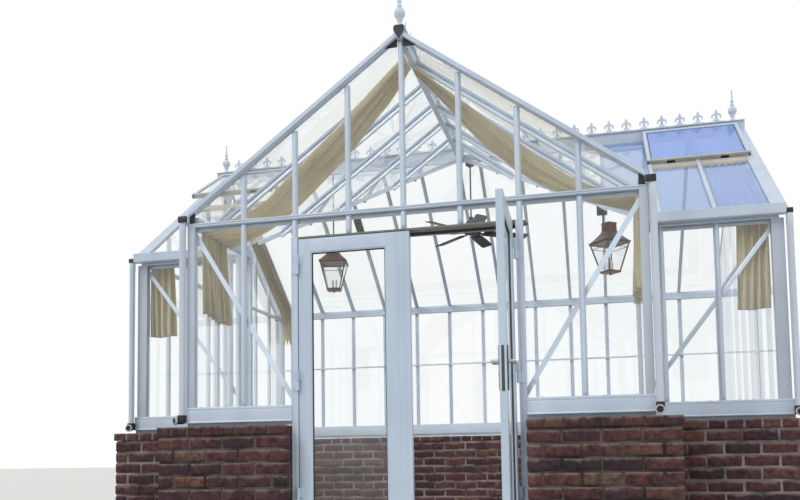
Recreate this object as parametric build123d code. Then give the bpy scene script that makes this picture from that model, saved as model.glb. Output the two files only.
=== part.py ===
"""White glazed garden house on a brick dwarf wall, T-shaped in plan, in millimetres.

The front faces -Y. The porch stands in front of a main house whose ridge runs along X.
The origin is on the ground, at the middle of the doorway, in the plane of the porch glass.
"""

import math
import os

from build123d import *

# Plan of the glazed frame, measured on the outer face of the glass.
bay = 365.0
half_width = 1460.0
main_half_length = 2350.0
porch_projection = 910.0
main_half_depth = 1460.0
rear_split = -39.0

# Heights above the ground.
brick_top = 800.0
sill_bottom = 822.0
sill_top = 927.0
mid_rail_height = 1568.0
tie_bottom = 2147.0
tie_top = 2172.0
gutter_bottom = 2162.0
gutter_top = 2232.0
roof_edge_height = 2223.0
porch_apex = 3318.0
main_apex = 3333.0
porch_ridge_top = 3344.0
main_ridge_top = 3406.0

# Clearances: pieces that rest on one another, and pieces that turn past one another.
seat = 0.3
free_gap = 7.0

# Dwarf wall.
brick_outside = 170.0
brick_thickness = 230.0
header_course = 64.0
header_projection = 10.0

# Sills, posts and bars.
glass_thickness = 4.0
post_size = 52.0
post_outside = 64.0
bar_width = 38.0
bar_front = 34.0
frame_inside = 18.0
sill_front = 40.0
sill_inside = 20.0
sill_lip = 8.0
sill_lip_height = 10.0
sill_overrun = 80.0
packing_inset = 18.0
packing_inside = 12.0
inner_rail_drop = 26.0
mid_rail_depth = 14.0
mid_rail_size = 16.0
brace_width = 32.0
brace_thickness = 4.0
brace_end_drop = 36.0

# Roof.
porch_overhang = 54.0
main_overhang = 39.0
roof_bar_width = 30.0
roof_bar_above = 8.0
roof_bar_below = 18.0
roof_stem_width = 20.0
roof_stem_depth = 36.0
valley_width = 34.0
valley_above = 6.0
valley_below = 34.0
rake_depth = 32.0
porch_verge_front = 60.0
porch_verge_width = 68.0
end_verge_outside = 90.0
end_verge_inside = 8.0
ridge_half = 20.0
ridge_below = 54.0
ridge_cap_half = 36.0
ridge_cap_height = 12.0
ridge_overrun = 90.0
transom_length = 62.0

# Gutters and downpipes.
gutter_width = 62.0
gutter_height = 42.0
gutter_overrun = 68.0
gutter_front = 70.0
cap_depth = 15.0
elbow_length = 44.0
elbow_height = 34.0
pipe_radius = 22.0
shoe_half = 24.0
shoe_height = 54.0
shoe_rise = 49.0
gusset_width = 36.0
apex_gusset_width = 82.0

# Doors.
door_bottom = 30.0
door_top = 2005.0
door_outer_edge = 701.0
door_meeting = 40.0
door_gap = 8.0
door_front = 35.0
door_thickness = 40.0
door_stile = 88.0
left_lock_stile = 162.0
right_lock_stile = 92.0
door_top_rail = 95.0
door_bottom_rail = 190.0
door_glass = 6.0
jamb_width = 44.0
head_height = 10.0
stop_drop = 34.0
stop_depth = 12.0
threshold_height = 22.0
hinge_side_gap = 6.0
hinge_front_gap = 2.0
hinge_radius = 12.0
hinge_leaf = 34.0
hinge_leaf_thickness = 3.0
hinge_height = 130.0
hinge_levels = (330.0, 1080.0, 1838.0)
right_door_angle = 91.5

# Lever handles.
plate_width = 36.0
plate_bottom = 926.0
plate_top = 1168.0
plate_thickness = 6.0
handle_inset = 45.0
lever_height = 1083.0
lever_reach = 48.0
lever_length = 115.0
lever_thickness = 14.0
lever_depth = 18.0

# Roof vents.
vent_length = 743.0
vent_frame = 36.0
vent_thickness = 28.0
vent_pane = 4.0
vent_hinge_rise = 33.0
vent_overrun = 28.0
left_vent_lift = 6.4

# Cresting and finials.
cresting_height = 100.0
cresting_thickness = 6.0
finial_height = 278.0
finial_radius = 36.0

# Fixtures under the roof.
rod_x = 1245.0
left_lantern_x = 1245.0
right_lantern_x = 1294.0
lantern_rim = 2425.0
lantern_body_height = 262.0
lantern_hood_height = 100.0
lantern_cap_height = 76.0
lantern_rim_width = 250.0
lantern_foot_width = 128.0
lantern_hood_top = 100.0
left_lantern_turn = 12.0
right_lantern_turn = 40.0
fan_x = 76.0
fan_height = 2613.0
fan_radius = 554.0
fan_blade_width = 104.0
fan_blade_thickness = 6.0
fan_blade_pitch = -12.0
fan_hub_radius = 70.0
fan_hub_half = 9.0
fan_motor_radius = 62.0
fan_motor_height = 96.0
fan_gap = 6.0
fan_blades_count = 7
rod_radius = 7.0

# Shade cloths.
cloth_thickness = 3.0
swag_front = 340.0
swag_back = 820.0
swag_depth = 190.0
swag_top_drop = 14.0
wing_curtain_width = 205.0
wing_curtain_bottom = 1600.0
porch_curtain_start = 90.0
porch_curtain_end = 430.0
porch_curtain_bottom = 1560.0
roof_cloth_drop = 34.0
roof_cloth_margin = 10.3
rolled_cloth_x = -2256.0
rolled_cloth_width = 144.0
rolled_cloth_drop = 60.0
rolled_cloth_thickness = 30.0
rolled_cloth_top = 190.0

gt = glass_thickness
half_bar = bar_width / 2.0
main_y = porch_projection
ridge_y = main_y + main_half_depth
rear_y = ridge_y + main_half_depth
roof_edge = half_width + porch_overhang
porch_slope = (porch_apex - roof_edge_height) / roof_edge
main_run = main_half_depth + main_overhang
main_slope = (main_apex - roof_edge_height) / main_run
main_pitch = math.degrees(math.atan(main_slope))
wing_bar_count = int((main_half_length - half_width - bar_width) // bay)
wing_bars = [main_half_length - bay * k for k in range(wing_bar_count, 0, -1)]
rear_right_count = int((main_half_length - rear_split - bay / 2.0) // bay)
rear_left_count = int((main_half_length + rear_split - bar_width) // bay)
rear_bars = [main_half_length - bay * k for k in range(1, rear_right_count + 1)]
rear_bars += [rear_split - bay * k for k in range(0, rear_left_count + 1)]
end_bars = [ridge_y + bay * k for k in range(-3, 4)]
side_bars = [bay, 2.0 * bay]
post_inner = half_width + bar_front - post_size
jamb_inner = door_outer_edge + free_gap
jamb_outer = jamb_inner + jamb_width
main_post_inner = main_half_length - frame_inside
head_bottom = door_top + free_gap
head_top = head_bottom + head_height


def block(x0, x1, y0, y1, z0, z1):
    """A box between two corners."""
    low = (min(x0, x1), min(y0, y1), min(z0, z1))
    high = (max(x0, x1), max(y0, y1), max(z0, z1))
    size = [b - a for a, b in zip(low, high)]
    return Pos(*low) * Box(*size, align=(Align.MIN, Align.MIN, Align.MIN))


def tube(x, y, z0, z1, radius):
    """An upright cylinder."""
    return Pos(x, y, z0) * Cylinder(radius, z1 - z0, align=(Align.CENTER, Align.CENTER, Align.MIN))


def prism(points, direction, amount):
    """A flat outline pushed along a direction."""
    face = Face(Wire.make_polygon([Vector(*p) for p in points], close=True))
    return extrude(face, amount=amount, dir=Vector(*direction))


def sloping_bar(start, end, width, above, below):
    """A straight bar with plumb ends, in the upright plane through its two points."""
    run = Vector(end[0] - start[0], end[1] - start[1], 0).normalized()
    side = Vector(-run.Y, run.X, 0) * (width / 2.0)
    outline = [
        (start[0], start[1], start[2] + above),
        (end[0], end[1], end[2] + above),
        (end[0], end[1], end[2] - below),
        (start[0], start[1], start[2] - below),
    ]
    moved = [(p[0] - side.X, p[1] - side.Y, p[2]) for p in outline]
    return prism(moved, (side.X, side.Y, 0), width)


def porch_height(x):
    """Height of the porch roof's outer face."""
    return porch_apex - abs(x) * porch_slope


def main_height(y):
    """Height of the main roof's outer face."""
    return main_apex - abs(y - ridge_y) * main_slope


def valley_x(y):
    """Half distance between the two valleys at a depth."""
    return (porch_apex - main_height(y)) / porch_slope


def valley_depth(x):
    """Depth at which a valley passes a distance from the centre line."""
    return ridge_y - (main_apex - porch_height(x)) / main_slope


def save(node, parts):
    """Write one node, from one solid or several that stand apart."""
    solids = []
    for part in parts:
        solids += list(part.solids())
    shape = solids[0] if len(solids) == 1 else Compound(children=solids)
    shape.label = node
    export_step(shape, f"parts/{node}.step")


os.makedirs("parts", exist_ok=True)
sides = (-1, 1)
step = header_projection
wall_in = brick_thickness - brick_outside
porch_out = half_width + brick_outside
main_out = main_half_length + brick_outside
main_front_out = main_y - brick_outside
rear_out = rear_y + brick_outside
course_bottom = brick_top - header_course


def brick_wall(x0, x1, y0, y1, low_x, high_x, low_y, high_y):
    """A dwarf wall whose top course steps out on the faces that are given a step."""
    wall = block(x0, x1, y0, y1, 0, course_bottom)
    cap = block(x0 - low_x, x1 + high_x, y0 - low_y, y1 + high_y, course_bottom, brick_top)
    return wall + cap


# Dwarf walls, in straight lengths that meet at the corners.
save("porch_front_brickwork", [
    brick_wall(-porch_out, -jamb_outer, -brick_outside, wall_in, step, 0, step, 0),
    brick_wall(jamb_outer, porch_out, -brick_outside, wall_in, 0, step, step, 0),
])
save("porch_side_brickwork", [
    brick_wall(-porch_out, -half_width + wall_in, wall_in, main_front_out - step, step, 0, 0, 0),
    brick_wall(half_width - wall_in, porch_out, wall_in, main_front_out - step, 0, step, 0, 0),
])
save("wing_front_brickwork", [
    brick_wall(-main_out, -half_width + wall_in, main_front_out, main_y + wall_in,
               step, 0, step, 0),
    brick_wall(half_width - wall_in, main_out, main_front_out, main_y + wall_in,
               0, step, step, 0),
])
save("end_brickwork", [
    brick_wall(-main_out, -main_half_length + wall_in, main_y + wall_in, rear_y - wall_in,
               step, 0, 0, 0),
    brick_wall(main_half_length - wall_in, main_out, main_y + wall_in, rear_y - wall_in,
               0, step, 0, 0),
])
save("rear_brickwork", [
    brick_wall(-main_out, main_out, rear_y - wall_in, rear_out, step, step, 0, step),
])


def sill_x(x0, x1, y, outward):
    """A sill along X on a packing strip, with a small lip at its foot."""
    face = y + outward * sill_front
    body = block(x0, x1, face, y - outward * sill_inside, sill_bottom, sill_top)
    lip = block(x0, x1, face + outward * sill_lip, y, sill_bottom, sill_bottom + sill_lip_height)
    packing = block(x0, x1, face - outward * packing_inset, y - outward * packing_inside,
                    brick_top, sill_bottom)
    return body + lip + packing


def sill_y(y0, y1, x, outward):
    """A sill along Y."""
    face = x + outward * sill_front
    body = block(face, x - outward * sill_inside, y0, y1, sill_bottom, sill_top)
    lip = block(face + outward * sill_lip, x, y0, y1, sill_bottom, sill_bottom + sill_lip_height)
    packing = block(face - outward * packing_inset, x - outward * packing_inside, y0, y1,
                    brick_top, sill_bottom)
    return body + lip + packing


sill_end = half_width + bar_front
main_sill_end = main_half_length + sill_overrun
inner_start = sill_inside + seat
save("porch_sills", [
    sill_x(-sill_end, -jamb_outer, 0, -1),
    sill_x(jamb_outer, sill_end, 0, -1),
] + [
    sill_y(inner_start, main_y - sill_front - sill_lip - seat, side * half_width, side)
    for side in sides
])
save("main_sills", [
    sill_x(-main_sill_end, -half_width + sill_inside, main_y, -1),
    sill_x(half_width - sill_inside, main_sill_end, main_y, -1),
    sill_x(-main_sill_end, main_sill_end, rear_y, 1),
] + [
    sill_y(main_y + inner_start, rear_y - inner_start, side * main_half_length, side)
    for side in sides
])

# Threshold, and the door head with a stop behind the leaves.
door_back = door_thickness - door_front
stop_front = door_back + free_gap
stop_back = stop_front + stop_depth
save("door_rails", [
    block(-jamb_inner + seat, jamb_inner - seat, -sill_front, stop_back, 0, threshold_height),
    block(-jamb_outer, jamb_outer, -bar_front, stop_back, head_bottom, head_top)
    + block(-jamb_inner, jamb_inner, stop_front, stop_back, head_bottom - stop_drop, head_bottom),
])

# Posts at the corners and where the porch meets the main house.
junction = half_width - sill_inside
save("corner_posts", [
    block(side * post_inner, side * (post_inner + post_size), -bar_front, frame_inside,
          sill_top, tie_bottom)
    for side in sides
] + [
    block(side * main_post_inner, side * (main_half_length + post_outside), y0, y1,
          sill_top, tie_bottom)
    for side in sides
    for y0, y1 in ((main_y - bar_front, main_y + frame_inside),
                   (rear_y - frame_inside, rear_y + bar_front))
] + [
    block(side * junction, side * (half_width + frame_inside), main_y - sill_inside,
          main_y + frame_inside, sill_top, tie_bottom)
    for side in sides
])


def front_mullion(x, y, z0, z1):
    """An upright glazing bar on a front wall, with a rounded nose to -Y."""
    bulge = half_bar * 0.6
    body = block(x - half_bar, x + half_bar, y - bar_front + bulge, y, z0, z1)
    front = Pos(x, y - bar_front + bulge, z0) * scale(
        Cylinder(half_bar, z1 - z0, align=(Align.CENTER, Align.CENTER, Align.MIN)), by=(1, 0.6, 1)
    )
    return body + front


# Glazing bars below the eaves.
save("porch_wall_bars", [
    front_mullion(side * 3 * bay, 0, sill_top, tie_bottom) for side in sides
] + [
    front_mullion(k * bay, 0, head_top, tie_bottom) for k in (-1, 0, 1)
] + [
    block(side * half_width, side * (half_width + bar_front), y - half_bar, y + half_bar,
          sill_top, tie_bottom)
    for side in sides for y in side_bars
])
save("main_wall_bars", [
    front_mullion(side * x, main_y, sill_top, tie_bottom) for side in sides for x in wing_bars
] + [
    block(side * main_half_length, side * (main_half_length + bar_front), y - half_bar,
          y + half_bar, sill_top, tie_bottom)
    for side in sides for y in end_bars
] + [
    block(x - half_bar, x + half_bar, rear_y, rear_y + bar_front, sill_top, tie_bottom)
    for x in rear_bars
])

# Door frame.
save("door_posts", [
    block(side * jamb_inner, side * jamb_outer, -bar_front, stop_back, 0, head_bottom)
    for side in sides
] + [
    block(side * jamb_outer, side * (jamb_outer - bar_width), -bar_front, 0, head_top, tie_bottom)
    for side in sides
])

# Ties and eaves.
porch_eave_out = half_width + frame_inside
porch_eave_top = porch_height(porch_eave_out) - roof_bar_below - gt - seat
main_eave_out = main_y - frame_inside
main_eave_top = main_height(main_eave_out) - roof_bar_below - gt - seat
rail_bottom = tie_bottom - inner_rail_drop
save("porch_eave_rails", [
    block(-sill_end, sill_end, -bar_front, frame_inside, tie_bottom, tie_top)
    + block(-post_inner + seat, post_inner - seat, gt + seat, frame_inside,
            rail_bottom, tie_bottom),
] + [
    block(side * porch_eave_out, side * post_inner, frame_inside + seat,
          main_y - bar_front - seat, tie_bottom, porch_eave_top)
    for side in sides
])
rail_end = main_half_length + bar_front
eave_inner = main_half_length - end_verge_inside - seat
save("main_eave_rails", [
    block(side * post_inner, side * rail_end, main_y - bar_front, main_y + frame_inside,
          tie_bottom, tie_top)
    + block(side * post_inner, side * eave_inner, main_eave_out, main_y + frame_inside,
            tie_top, main_eave_top)
    + block(side * (half_width + frame_inside + seat), side * (main_post_inner - seat),
            main_y + gt + seat, main_y + frame_inside, rail_bottom, tie_bottom)
    for side in sides
] + [
    block(-rail_end, rail_end, rear_y - frame_inside, rear_y + bar_front, tie_bottom, tie_top)
    + block(-eave_inner, eave_inner, rear_y - frame_inside, rear_y + frame_inside,
            tie_top, main_eave_top),
] + [
    block(side * rail_end, side * main_post_inner, main_y + frame_inside + seat,
          rear_y - frame_inside - seat, tie_bottom, tie_top)
    for side in sides
])

# Ridges, each a web under a flat cap.
main_cap_bottom = main_ridge_top - ridge_cap_height
porch_cap_bottom = porch_ridge_top - ridge_cap_height
ridge_end = main_half_length + ridge_overrun
porch_ridge_end = ridge_y - ridge_half - seat
save("ridge_beams", [
    block(-ridge_end, ridge_end, ridge_y - ridge_half, ridge_y + ridge_half,
          main_apex - ridge_below, main_ridge_top)
    + block(-ridge_end, ridge_end, ridge_y - ridge_cap_half, ridge_y + ridge_cap_half,
            main_cap_bottom, main_ridge_top),
    block(-ridge_half, ridge_half, -porch_verge_front, porch_ridge_end,
          porch_apex - ridge_below, porch_ridge_top)
    + block(-ridge_cap_half, ridge_cap_half, -porch_verge_front, porch_ridge_end,
            porch_cap_bottom, porch_ridge_top),
])
roof_start = ridge_half + seat

# Gutters. The porch verges stop against the gutter's inner face.
gutter_back = porch_eave_out + seat
porch_gutter_bottom = tie_top + seat
porch_gutter_top = porch_gutter_bottom + gutter_height
fascia_back = main_y - main_overhang - seat
rear_fascia = rear_y + main_overhang + seat
gutter_end = main_half_length + gutter_overrun
porch_gutter_out = gutter_back + gutter_width
save("gutters", [
    block(side * gutter_back, side * porch_gutter_out, -gutter_front,
          fascia_back - gutter_width - seat, porch_gutter_bottom, porch_gutter_top)
    for side in sides
] + [
    block(side * gutter_back, side * gutter_end, fascia_back - gutter_width, fascia_back,
          gutter_bottom, gutter_top)
    for side in sides
] + [
    block(-gutter_end, gutter_end, rear_fascia, rear_fascia + gutter_width,
          gutter_bottom, gutter_top),
])


def rake_x(side):
    """Half of the porch gable's verge."""
    y = porch_verge_width / 2.0 - porch_verge_front
    start = (side * roof_start, y, porch_height(roof_start))
    end = (side * porch_eave_out, y, porch_height(porch_eave_out))
    return sloping_bar(start, end, porch_verge_width, 0, rake_depth)


end_verge_width = end_verge_outside + end_verge_inside
end_verge_middle = main_half_length + (end_verge_outside - end_verge_inside) / 2.0


def rake_y(x, side):
    """Half of an end gable's verge."""
    y0 = ridge_y + side * roof_start
    y1 = ridge_y + side * main_run
    return sloping_bar((x, y0, main_height(y0)), (x, y1, main_height(y1)),
                       end_verge_width, 0, rake_depth)


save("verge_bars", [rake_x(side) for side in sides] + [
    rake_y(end * end_verge_middle, side) for end in sides for side in sides
])


def gable_bar_x(x):
    """An upright bar from the porch tie to the verge, or to the ridge in the middle."""
    z = porch_height(abs(x) + half_bar) - rake_depth - seat
    z = min(z, porch_apex - ridge_below - seat)
    return front_mullion(x, 0, tie_top, z)


def gable_bar_y(side, y):
    """An upright bar from an end tie to the verge, or to the ridge in the middle."""
    z = main_height(ridge_y + abs(y - ridge_y) + half_bar) - rake_depth - seat
    z = min(z, main_apex - ridge_below - seat)
    return block(side * main_half_length, side * (main_half_length + bar_front), y - half_bar,
                 y + half_bar, tie_top, z)


save("gable_bars", [gable_bar_x(k * bay) for k in range(-3, 4)] + [
    gable_bar_y(side, y) for side in sides for y in end_bars
])

# Valley bars, with their upper ends against the porch ridge and their feet on the eaves.
valley_angle = math.atan(porch_slope / main_slope)
valley_top = roof_start + math.sin(valley_angle) * valley_width / 2.0
valley_foot = post_inner - valley_width


def valley_bar(side, width, above, below):
    """A bar along one valley."""
    return sloping_bar(
        (side * valley_top, valley_depth(valley_top), porch_height(valley_top)),
        (side * valley_foot, valley_depth(valley_foot), porch_height(valley_foot)),
        width, above, below,
    )


valley_cutters = {
    side: valley_bar(side, valley_width + 2.0 * seat, 4 * valley_below, 4 * valley_below)
    for side in sides
}
save("valley_bars", [
    valley_bar(side, valley_width, valley_above, valley_below) for side in sides
])


stem_top = roof_bar_below + gt + seat
stem_bottom = stem_top + roof_stem_depth


def porch_roof_bar(side, y, low, stem_low):
    """A bar down one porch slope, and its stem under the glass."""
    start = (side * roof_start, y, porch_height(roof_start))
    end = (side * low, y, porch_height(low))
    stem_end = (side * stem_low, y, porch_height(stem_low))
    return [
        sloping_bar(start, end, roof_bar_width, roof_bar_above, roof_bar_below),
        sloping_bar(start, stem_end, roof_stem_width, -stem_top, stem_bottom),
    ]


def main_roof_bar(x, side, low, stem_low):
    """A bar down one main slope and its stem, low is the distance from the ridge in plan."""
    start = (x, ridge_y + side * roof_start, main_height(ridge_y + roof_start))
    end = (x, ridge_y + side * low, main_height(ridge_y + low))
    stem_end = (x, ridge_y + side * stem_low, main_height(ridge_y + stem_low))
    return [
        sloping_bar(start, end, roof_bar_width, roof_bar_above, roof_bar_below),
        sloping_bar(start, stem_end, roof_stem_width, -stem_top, stem_bottom),
    ]


porch_eave_run = gutter_back - seat
porch_stem_run = post_inner - seat
main_eave_run = main_run - seat
main_stem_run = main_half_depth - frame_inside - seat
valley_ys = [bay * k for k in (3, 4, 5)]
jack_xs = [bay * k for k in (1, 2, 3)]
save("porch_roof_bars", [
    part for side in sides for y in side_bars
    for part in porch_roof_bar(side, y, porch_eave_run, porch_stem_run)
] + [
    part - valley_cutters[side]
    for side in sides for y in valley_ys
    for part in porch_roof_bar(side, y, valley_x(y), valley_x(y))
])

# Roof vents turn about the ridge. Closed, they lie on the bars of their slope.
bars_top = main_height(ridge_y + roof_start) + roof_bar_above
vent_hinge_height = bars_top + vent_hinge_rise
closing = math.degrees(math.asin(vent_hinge_rise * math.cos(math.atan(main_slope)) / vent_length))
closed_angle = main_pitch + closing - 0.1
vent_inner = wing_bars[0] - half_bar
vent_outer = main_half_length + vent_overrun
vent_plan = vent_length * math.cos(math.radians(closed_angle))
vent_foot = ridge_y - roof_start - vent_plan


def transom(x0, x1):
    """A cross bar under the lower edge of a vent."""
    y0 = vent_foot - transom_length
    return prism([
        (x0, vent_foot, main_height(vent_foot) + roof_bar_above),
        (x0, y0, main_height(y0) + roof_bar_above),
        (x0, y0, main_height(y0) - roof_bar_below),
        (x0, vent_foot, main_height(vent_foot) - roof_bar_below),
    ], (1, 0, 0), x1 - x0)


bar_side = roof_bar_width / 2.0 + seat
bay_ends = [x - bar_side for x in wing_bars[1:]] + [main_half_length - end_verge_inside - seat]
transom_ends = [(x + bar_side, end) for x, end in zip(wing_bars, bay_ends)]
save("main_roof_bars", [
    part for side in sides for x in wing_bars
    for part in main_roof_bar(side * x, -1, main_eave_run, main_stem_run)
] + [
    part - valley_cutters[side]
    for side in sides for x in jack_xs
    for part in main_roof_bar(side * x, -1, ridge_y - valley_depth(x), ridge_y - valley_depth(x))
] + [
    part for x in rear_bars
    for part in main_roof_bar(x, 1, main_eave_run, main_stem_run)
] + [
    transom(a, b) if side > 0 else transom(-b, -a) for side in sides for a, b in transom_ends
])


def vent(side, angle):
    """A vent as wide as the bays beside the porch, with one pane, hung at the ridge."""
    width = vent_outer - vent_inner
    middle = side * (vent_inner + vent_outer) / 2.0
    hole_width = width - 2.0 * vent_frame
    hole_length = vent_length - 2.0 * vent_frame
    near = (Align.CENTER, Align.MAX, Align.MIN)
    frame = Box(width, vent_length, vent_thickness, align=near)
    frame -= Pos(0, -vent_frame, -vent_pane) * Box(
        hole_width, hole_length, 2 * vent_thickness, align=near)
    pane = Pos(0, -vent_frame, vent_thickness / 2.0) * Box(
        hole_width, hole_length, vent_pane, align=near)
    place = Pos(middle, ridge_y - roof_start, vent_hinge_height) * Rot(angle, 0, 0)
    return place * frame, place * pane


left_frame, left_pane = vent(-1, closed_angle - left_vent_lift)
right_frame, right_pane = vent(1, closed_angle)
save("roof_vents", [left_frame, right_frame])
save("roof_vent_glass", [left_pane, right_pane])

# Downpipes and shoes. A porch shoe stands against its sill's end, the others before a sill.
porch_pipe_x = sill_end + seat + shoe_half
porch_pipe_y = -(sill_front + cap_depth - seat)
main_pipe_x = gutter_end + elbow_length / 2.0
front_pipe_y = main_y - sill_front - sill_lip - seat - shoe_half
rear_pipe_y = rear_y + sill_front + sill_lip + seat + shoe_half
shoe_bottom = sill_top - shoe_height - shoe_rise
shoe_top = shoe_bottom + shoe_height
elbow_bottom = gutter_bottom
porch_pipes = [(side * porch_pipe_x, porch_pipe_y) for side in sides]
main_pipes = [(side * main_pipe_x, y) for side in sides for y in (front_pipe_y, rear_pipe_y)]
save("downpipes", [
    tube(x, y, shoe_top, porch_gutter_bottom - seat, pipe_radius) for x, y in porch_pipes
] + [
    tube(x, y, shoe_top, elbow_bottom - seat, pipe_radius) for x, y in main_pipes
])
save("downpipe_shoes", [
    block(x - shoe_half, x + shoe_half, y - shoe_half, y + shoe_half, shoe_bottom,
          shoe_top - seat)
    for x, y in porch_pipes + main_pipes
])

# Black gutter ends and elbows, apex plates and corner gussets.
gusset_back = -bar_front + cap_depth / 2.0


def corner_gusset(side):
    """A plate in the lower corner of the porch gable."""
    x1 = gutter_back - seat
    x0 = x1 - gusset_width
    z0 = porch_height(x0) - rake_depth - seat
    z1 = porch_height(x1) - rake_depth - seat
    return prism([
        (side * x0, gusset_back, tie_top + seat), (side * x1, gusset_back, tie_top + seat),
        (side * x1, gusset_back, z1), (side * x0, gusset_back, z0),
    ], (0, -1, 0), cap_depth / 2.0)


def apex_gusset(side):
    """A plate under a rake beside the middle bar."""
    x0 = half_bar + seat
    x1 = half_bar + apex_gusset_width
    z1 = porch_height(x1) - rake_depth - seat
    x2 = ridge_half + seat
    return prism([
        (side * x0, gusset_back, z1), (side * x1, gusset_back, z1),
        (side * x2, gusset_back, porch_height(x2) - rake_depth - seat),
        (side * x2, gusset_back, porch_apex - ridge_below - seat),
        (side * x0, gusset_back, porch_apex - ridge_below - seat),
    ], (0, -1, 0), cap_depth / 3.0)


apex_plate = prism([
    (0, -porch_verge_front - seat, porch_ridge_top - 92),
    (36, -porch_verge_front - seat, porch_ridge_top - 38),
    (36, -porch_verge_front - seat, porch_ridge_top - 12),
    (24, -porch_verge_front - seat, porch_ridge_top),
    (-24, -porch_verge_front - seat, porch_ridge_top),
    (-36, -porch_verge_front - seat, porch_ridge_top - 12),
    (-36, -porch_verge_front - seat, porch_ridge_top - 38),
], (0, -1, 0), 8)
save("black_caps", [apex_plate] + [corner_gusset(side) for side in sides] + [
    apex_gusset(side) for side in sides
] + [
    block(side * gutter_back, side * porch_gutter_out, -gutter_front - seat,
          -gutter_front - cap_depth, porch_gutter_bottom, porch_gutter_top)
    for side in sides
] + [
    block(side * (gutter_end + seat), side * (gutter_end + elbow_length), y - shoe_half,
          y + shoe_half, elbow_bottom, elbow_bottom + elbow_height)
    for side in sides for y in (front_pipe_y, rear_pipe_y)
])

# Glass.
gable_inset = rake_depth + gt
gable_edge = half_width - 2.0 * frame_inside
save("porch_wall_glass", [
    block(side * (post_inner - seat), side * jamb_outer, 0, gt, sill_top, tie_bottom)
    for side in sides
] + [
    block(-jamb_outer + bar_width, jamb_outer - bar_width, 0, gt, head_top, tie_bottom),
    prism([
        (-gable_edge, 0, tie_top),
        (gable_edge, 0, tie_top),
        (gable_edge, 0, porch_height(gable_edge) - gable_inset),
        (ridge_below, 0, porch_height(ridge_below) - gable_inset),
        (-ridge_below, 0, porch_height(ridge_below) - gable_inset),
        (-gable_edge, 0, porch_height(gable_edge) - gable_inset),
    ], (0, 1, 0), gt),
] + [
    block(side * half_width, side * (half_width - gt), frame_inside + seat,
          main_y - sill_inside - seat, sill_top, tie_bottom)
    for side in sides
])


def end_gable_pane(side):
    """The glass of one end gable above its tie."""
    x = side * main_half_length
    run = main_half_depth - 2.0 * frame_inside
    low = main_height(ridge_y + run) - gable_inset
    high = main_height(ridge_y + ridge_below) - gable_inset
    return prism([
        (x, ridge_y - run, tie_top),
        (x, ridge_y + run, tie_top),
        (x, ridge_y + run, low),
        (x, ridge_y + ridge_below, high),
        (x, ridge_y - ridge_below, high),
        (x, ridge_y - run, low),
    ], (-side, 0, 0), gt)


save("main_wall_glass", [
    block(side * (half_width + frame_inside + seat), side * (main_post_inner - seat), main_y,
          main_y + gt, sill_top, tie_bottom)
    for side in sides
] + [
    block(-main_post_inner + seat, main_post_inner - seat, rear_y - gt, rear_y, sill_top,
          tie_bottom),
] + [
    block(side * main_half_length, side * (main_half_length - gt), main_y + frame_inside + seat,
          rear_y - frame_inside - seat, sill_top, tie_bottom)
    for side in sides
] + [end_gable_pane(side) for side in sides])


def main_pane(outline):
    """Roof glass from a plan outline on the main slopes, under the bars."""
    points = [(x, y, main_height(y) - roof_bar_below) for x, y in outline]
    return prism(points, (0, 0, -1), gt)


def porch_pane(outline):
    """Roof glass from a plan outline on the porch slopes."""
    points = [(x, y, porch_height(x) - roof_bar_below) for x, y in outline]
    return prism(points, (0, 0, -1), gt)


low_y = main_y - frame_inside
pane_end = main_half_length - end_verge_inside - seat
valley_side = valley_width * 1.2
pane_inner = wing_bars[0] + half_bar


def front_panes(side):
    """Front roof glass of one wing, open under the vent."""
    inner = main_pane([
        (side * 2.0 * valley_width, ridge_y - roof_start),
        (side * pane_inner, ridge_y - roof_start),
        (side * pane_inner, low_y),
        (side * (valley_x(low_y) + valley_side), low_y),
        (side * 2.0 * valley_width, valley_depth(valley_width / 2.0)),
    ])
    lower = main_pane([
        (side * (pane_inner + seat), vent_foot),
        (side * pane_end, vent_foot),
        (side * pane_end, low_y),
        (side * (pane_inner + seat), low_y),
    ])
    return [inner, lower]


save("main_roof_glass", front_panes(-1) + front_panes(1) + [
    main_pane([
        (-pane_end, ridge_y + roof_start),
        (pane_end, ridge_y + roof_start),
        (pane_end, rear_y + frame_inside),
        (-pane_end, rear_y + frame_inside),
    ]),
])
porch_pane_start = porch_verge_width - porch_verge_front + seat
save("porch_roof_glass", [
    porch_pane([
        (side * roof_start, porch_pane_start),
        (side * porch_eave_out, porch_pane_start),
        (side * porch_eave_out, low_y - seat),
        (side * (valley_x(low_y) - valley_side), low_y - seat),
        (side * roof_start, valley_depth(roof_start) - valley_side),
    ])
    for side in sides
])

# Doors. Each leaf is drawn closed, then the right one stands open as built.
axis_x = door_outer_edge + hinge_side_gap
axis_y = -(door_front + hinge_radius + hinge_front_gap)
half_hinge = hinge_height / 2.0


def barrel(x, y, low, high):
    """The round part of a hinge."""
    return tube(x, y, low, high, hinge_radius)


lock_stiles = {-1: left_lock_stile, 1: right_lock_stile}


def leaf(side, meeting):
    """One door frame: stiles, rails and the upper halves of its three hinges."""
    hinge_edge = side * door_outer_edge
    body = block(hinge_edge, meeting, -door_front, door_back, door_bottom, door_top)
    toward = -side
    hole = block(
        hinge_edge + toward * door_stile, meeting - toward * lock_stiles[side],
        -door_front - gt, door_back + gt, door_bottom + door_bottom_rail,
        door_top - door_top_rail,
    )
    body = body - hole
    face = -door_front - hinge_leaf_thickness
    for level in hinge_levels:
        body += block(side * axis_x, side * (axis_x - hinge_leaf), face, -door_front,
                      level + seat, level + half_hinge)
        body += barrel(side * axis_x, axis_y, level + seat, level + half_hinge)
    return body


def leaf_glass(side, meeting):
    """The pane of one door, inside its frame's faces."""
    toward = -side
    y = (door_back - door_front) / 2.0
    return block(
        side * door_outer_edge + toward * door_stile, meeting - toward * lock_stiles[side],
        y - door_glass / 2.0, y + door_glass / 2.0, door_bottom + door_bottom_rail,
        door_top - door_top_rail,
    )


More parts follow.
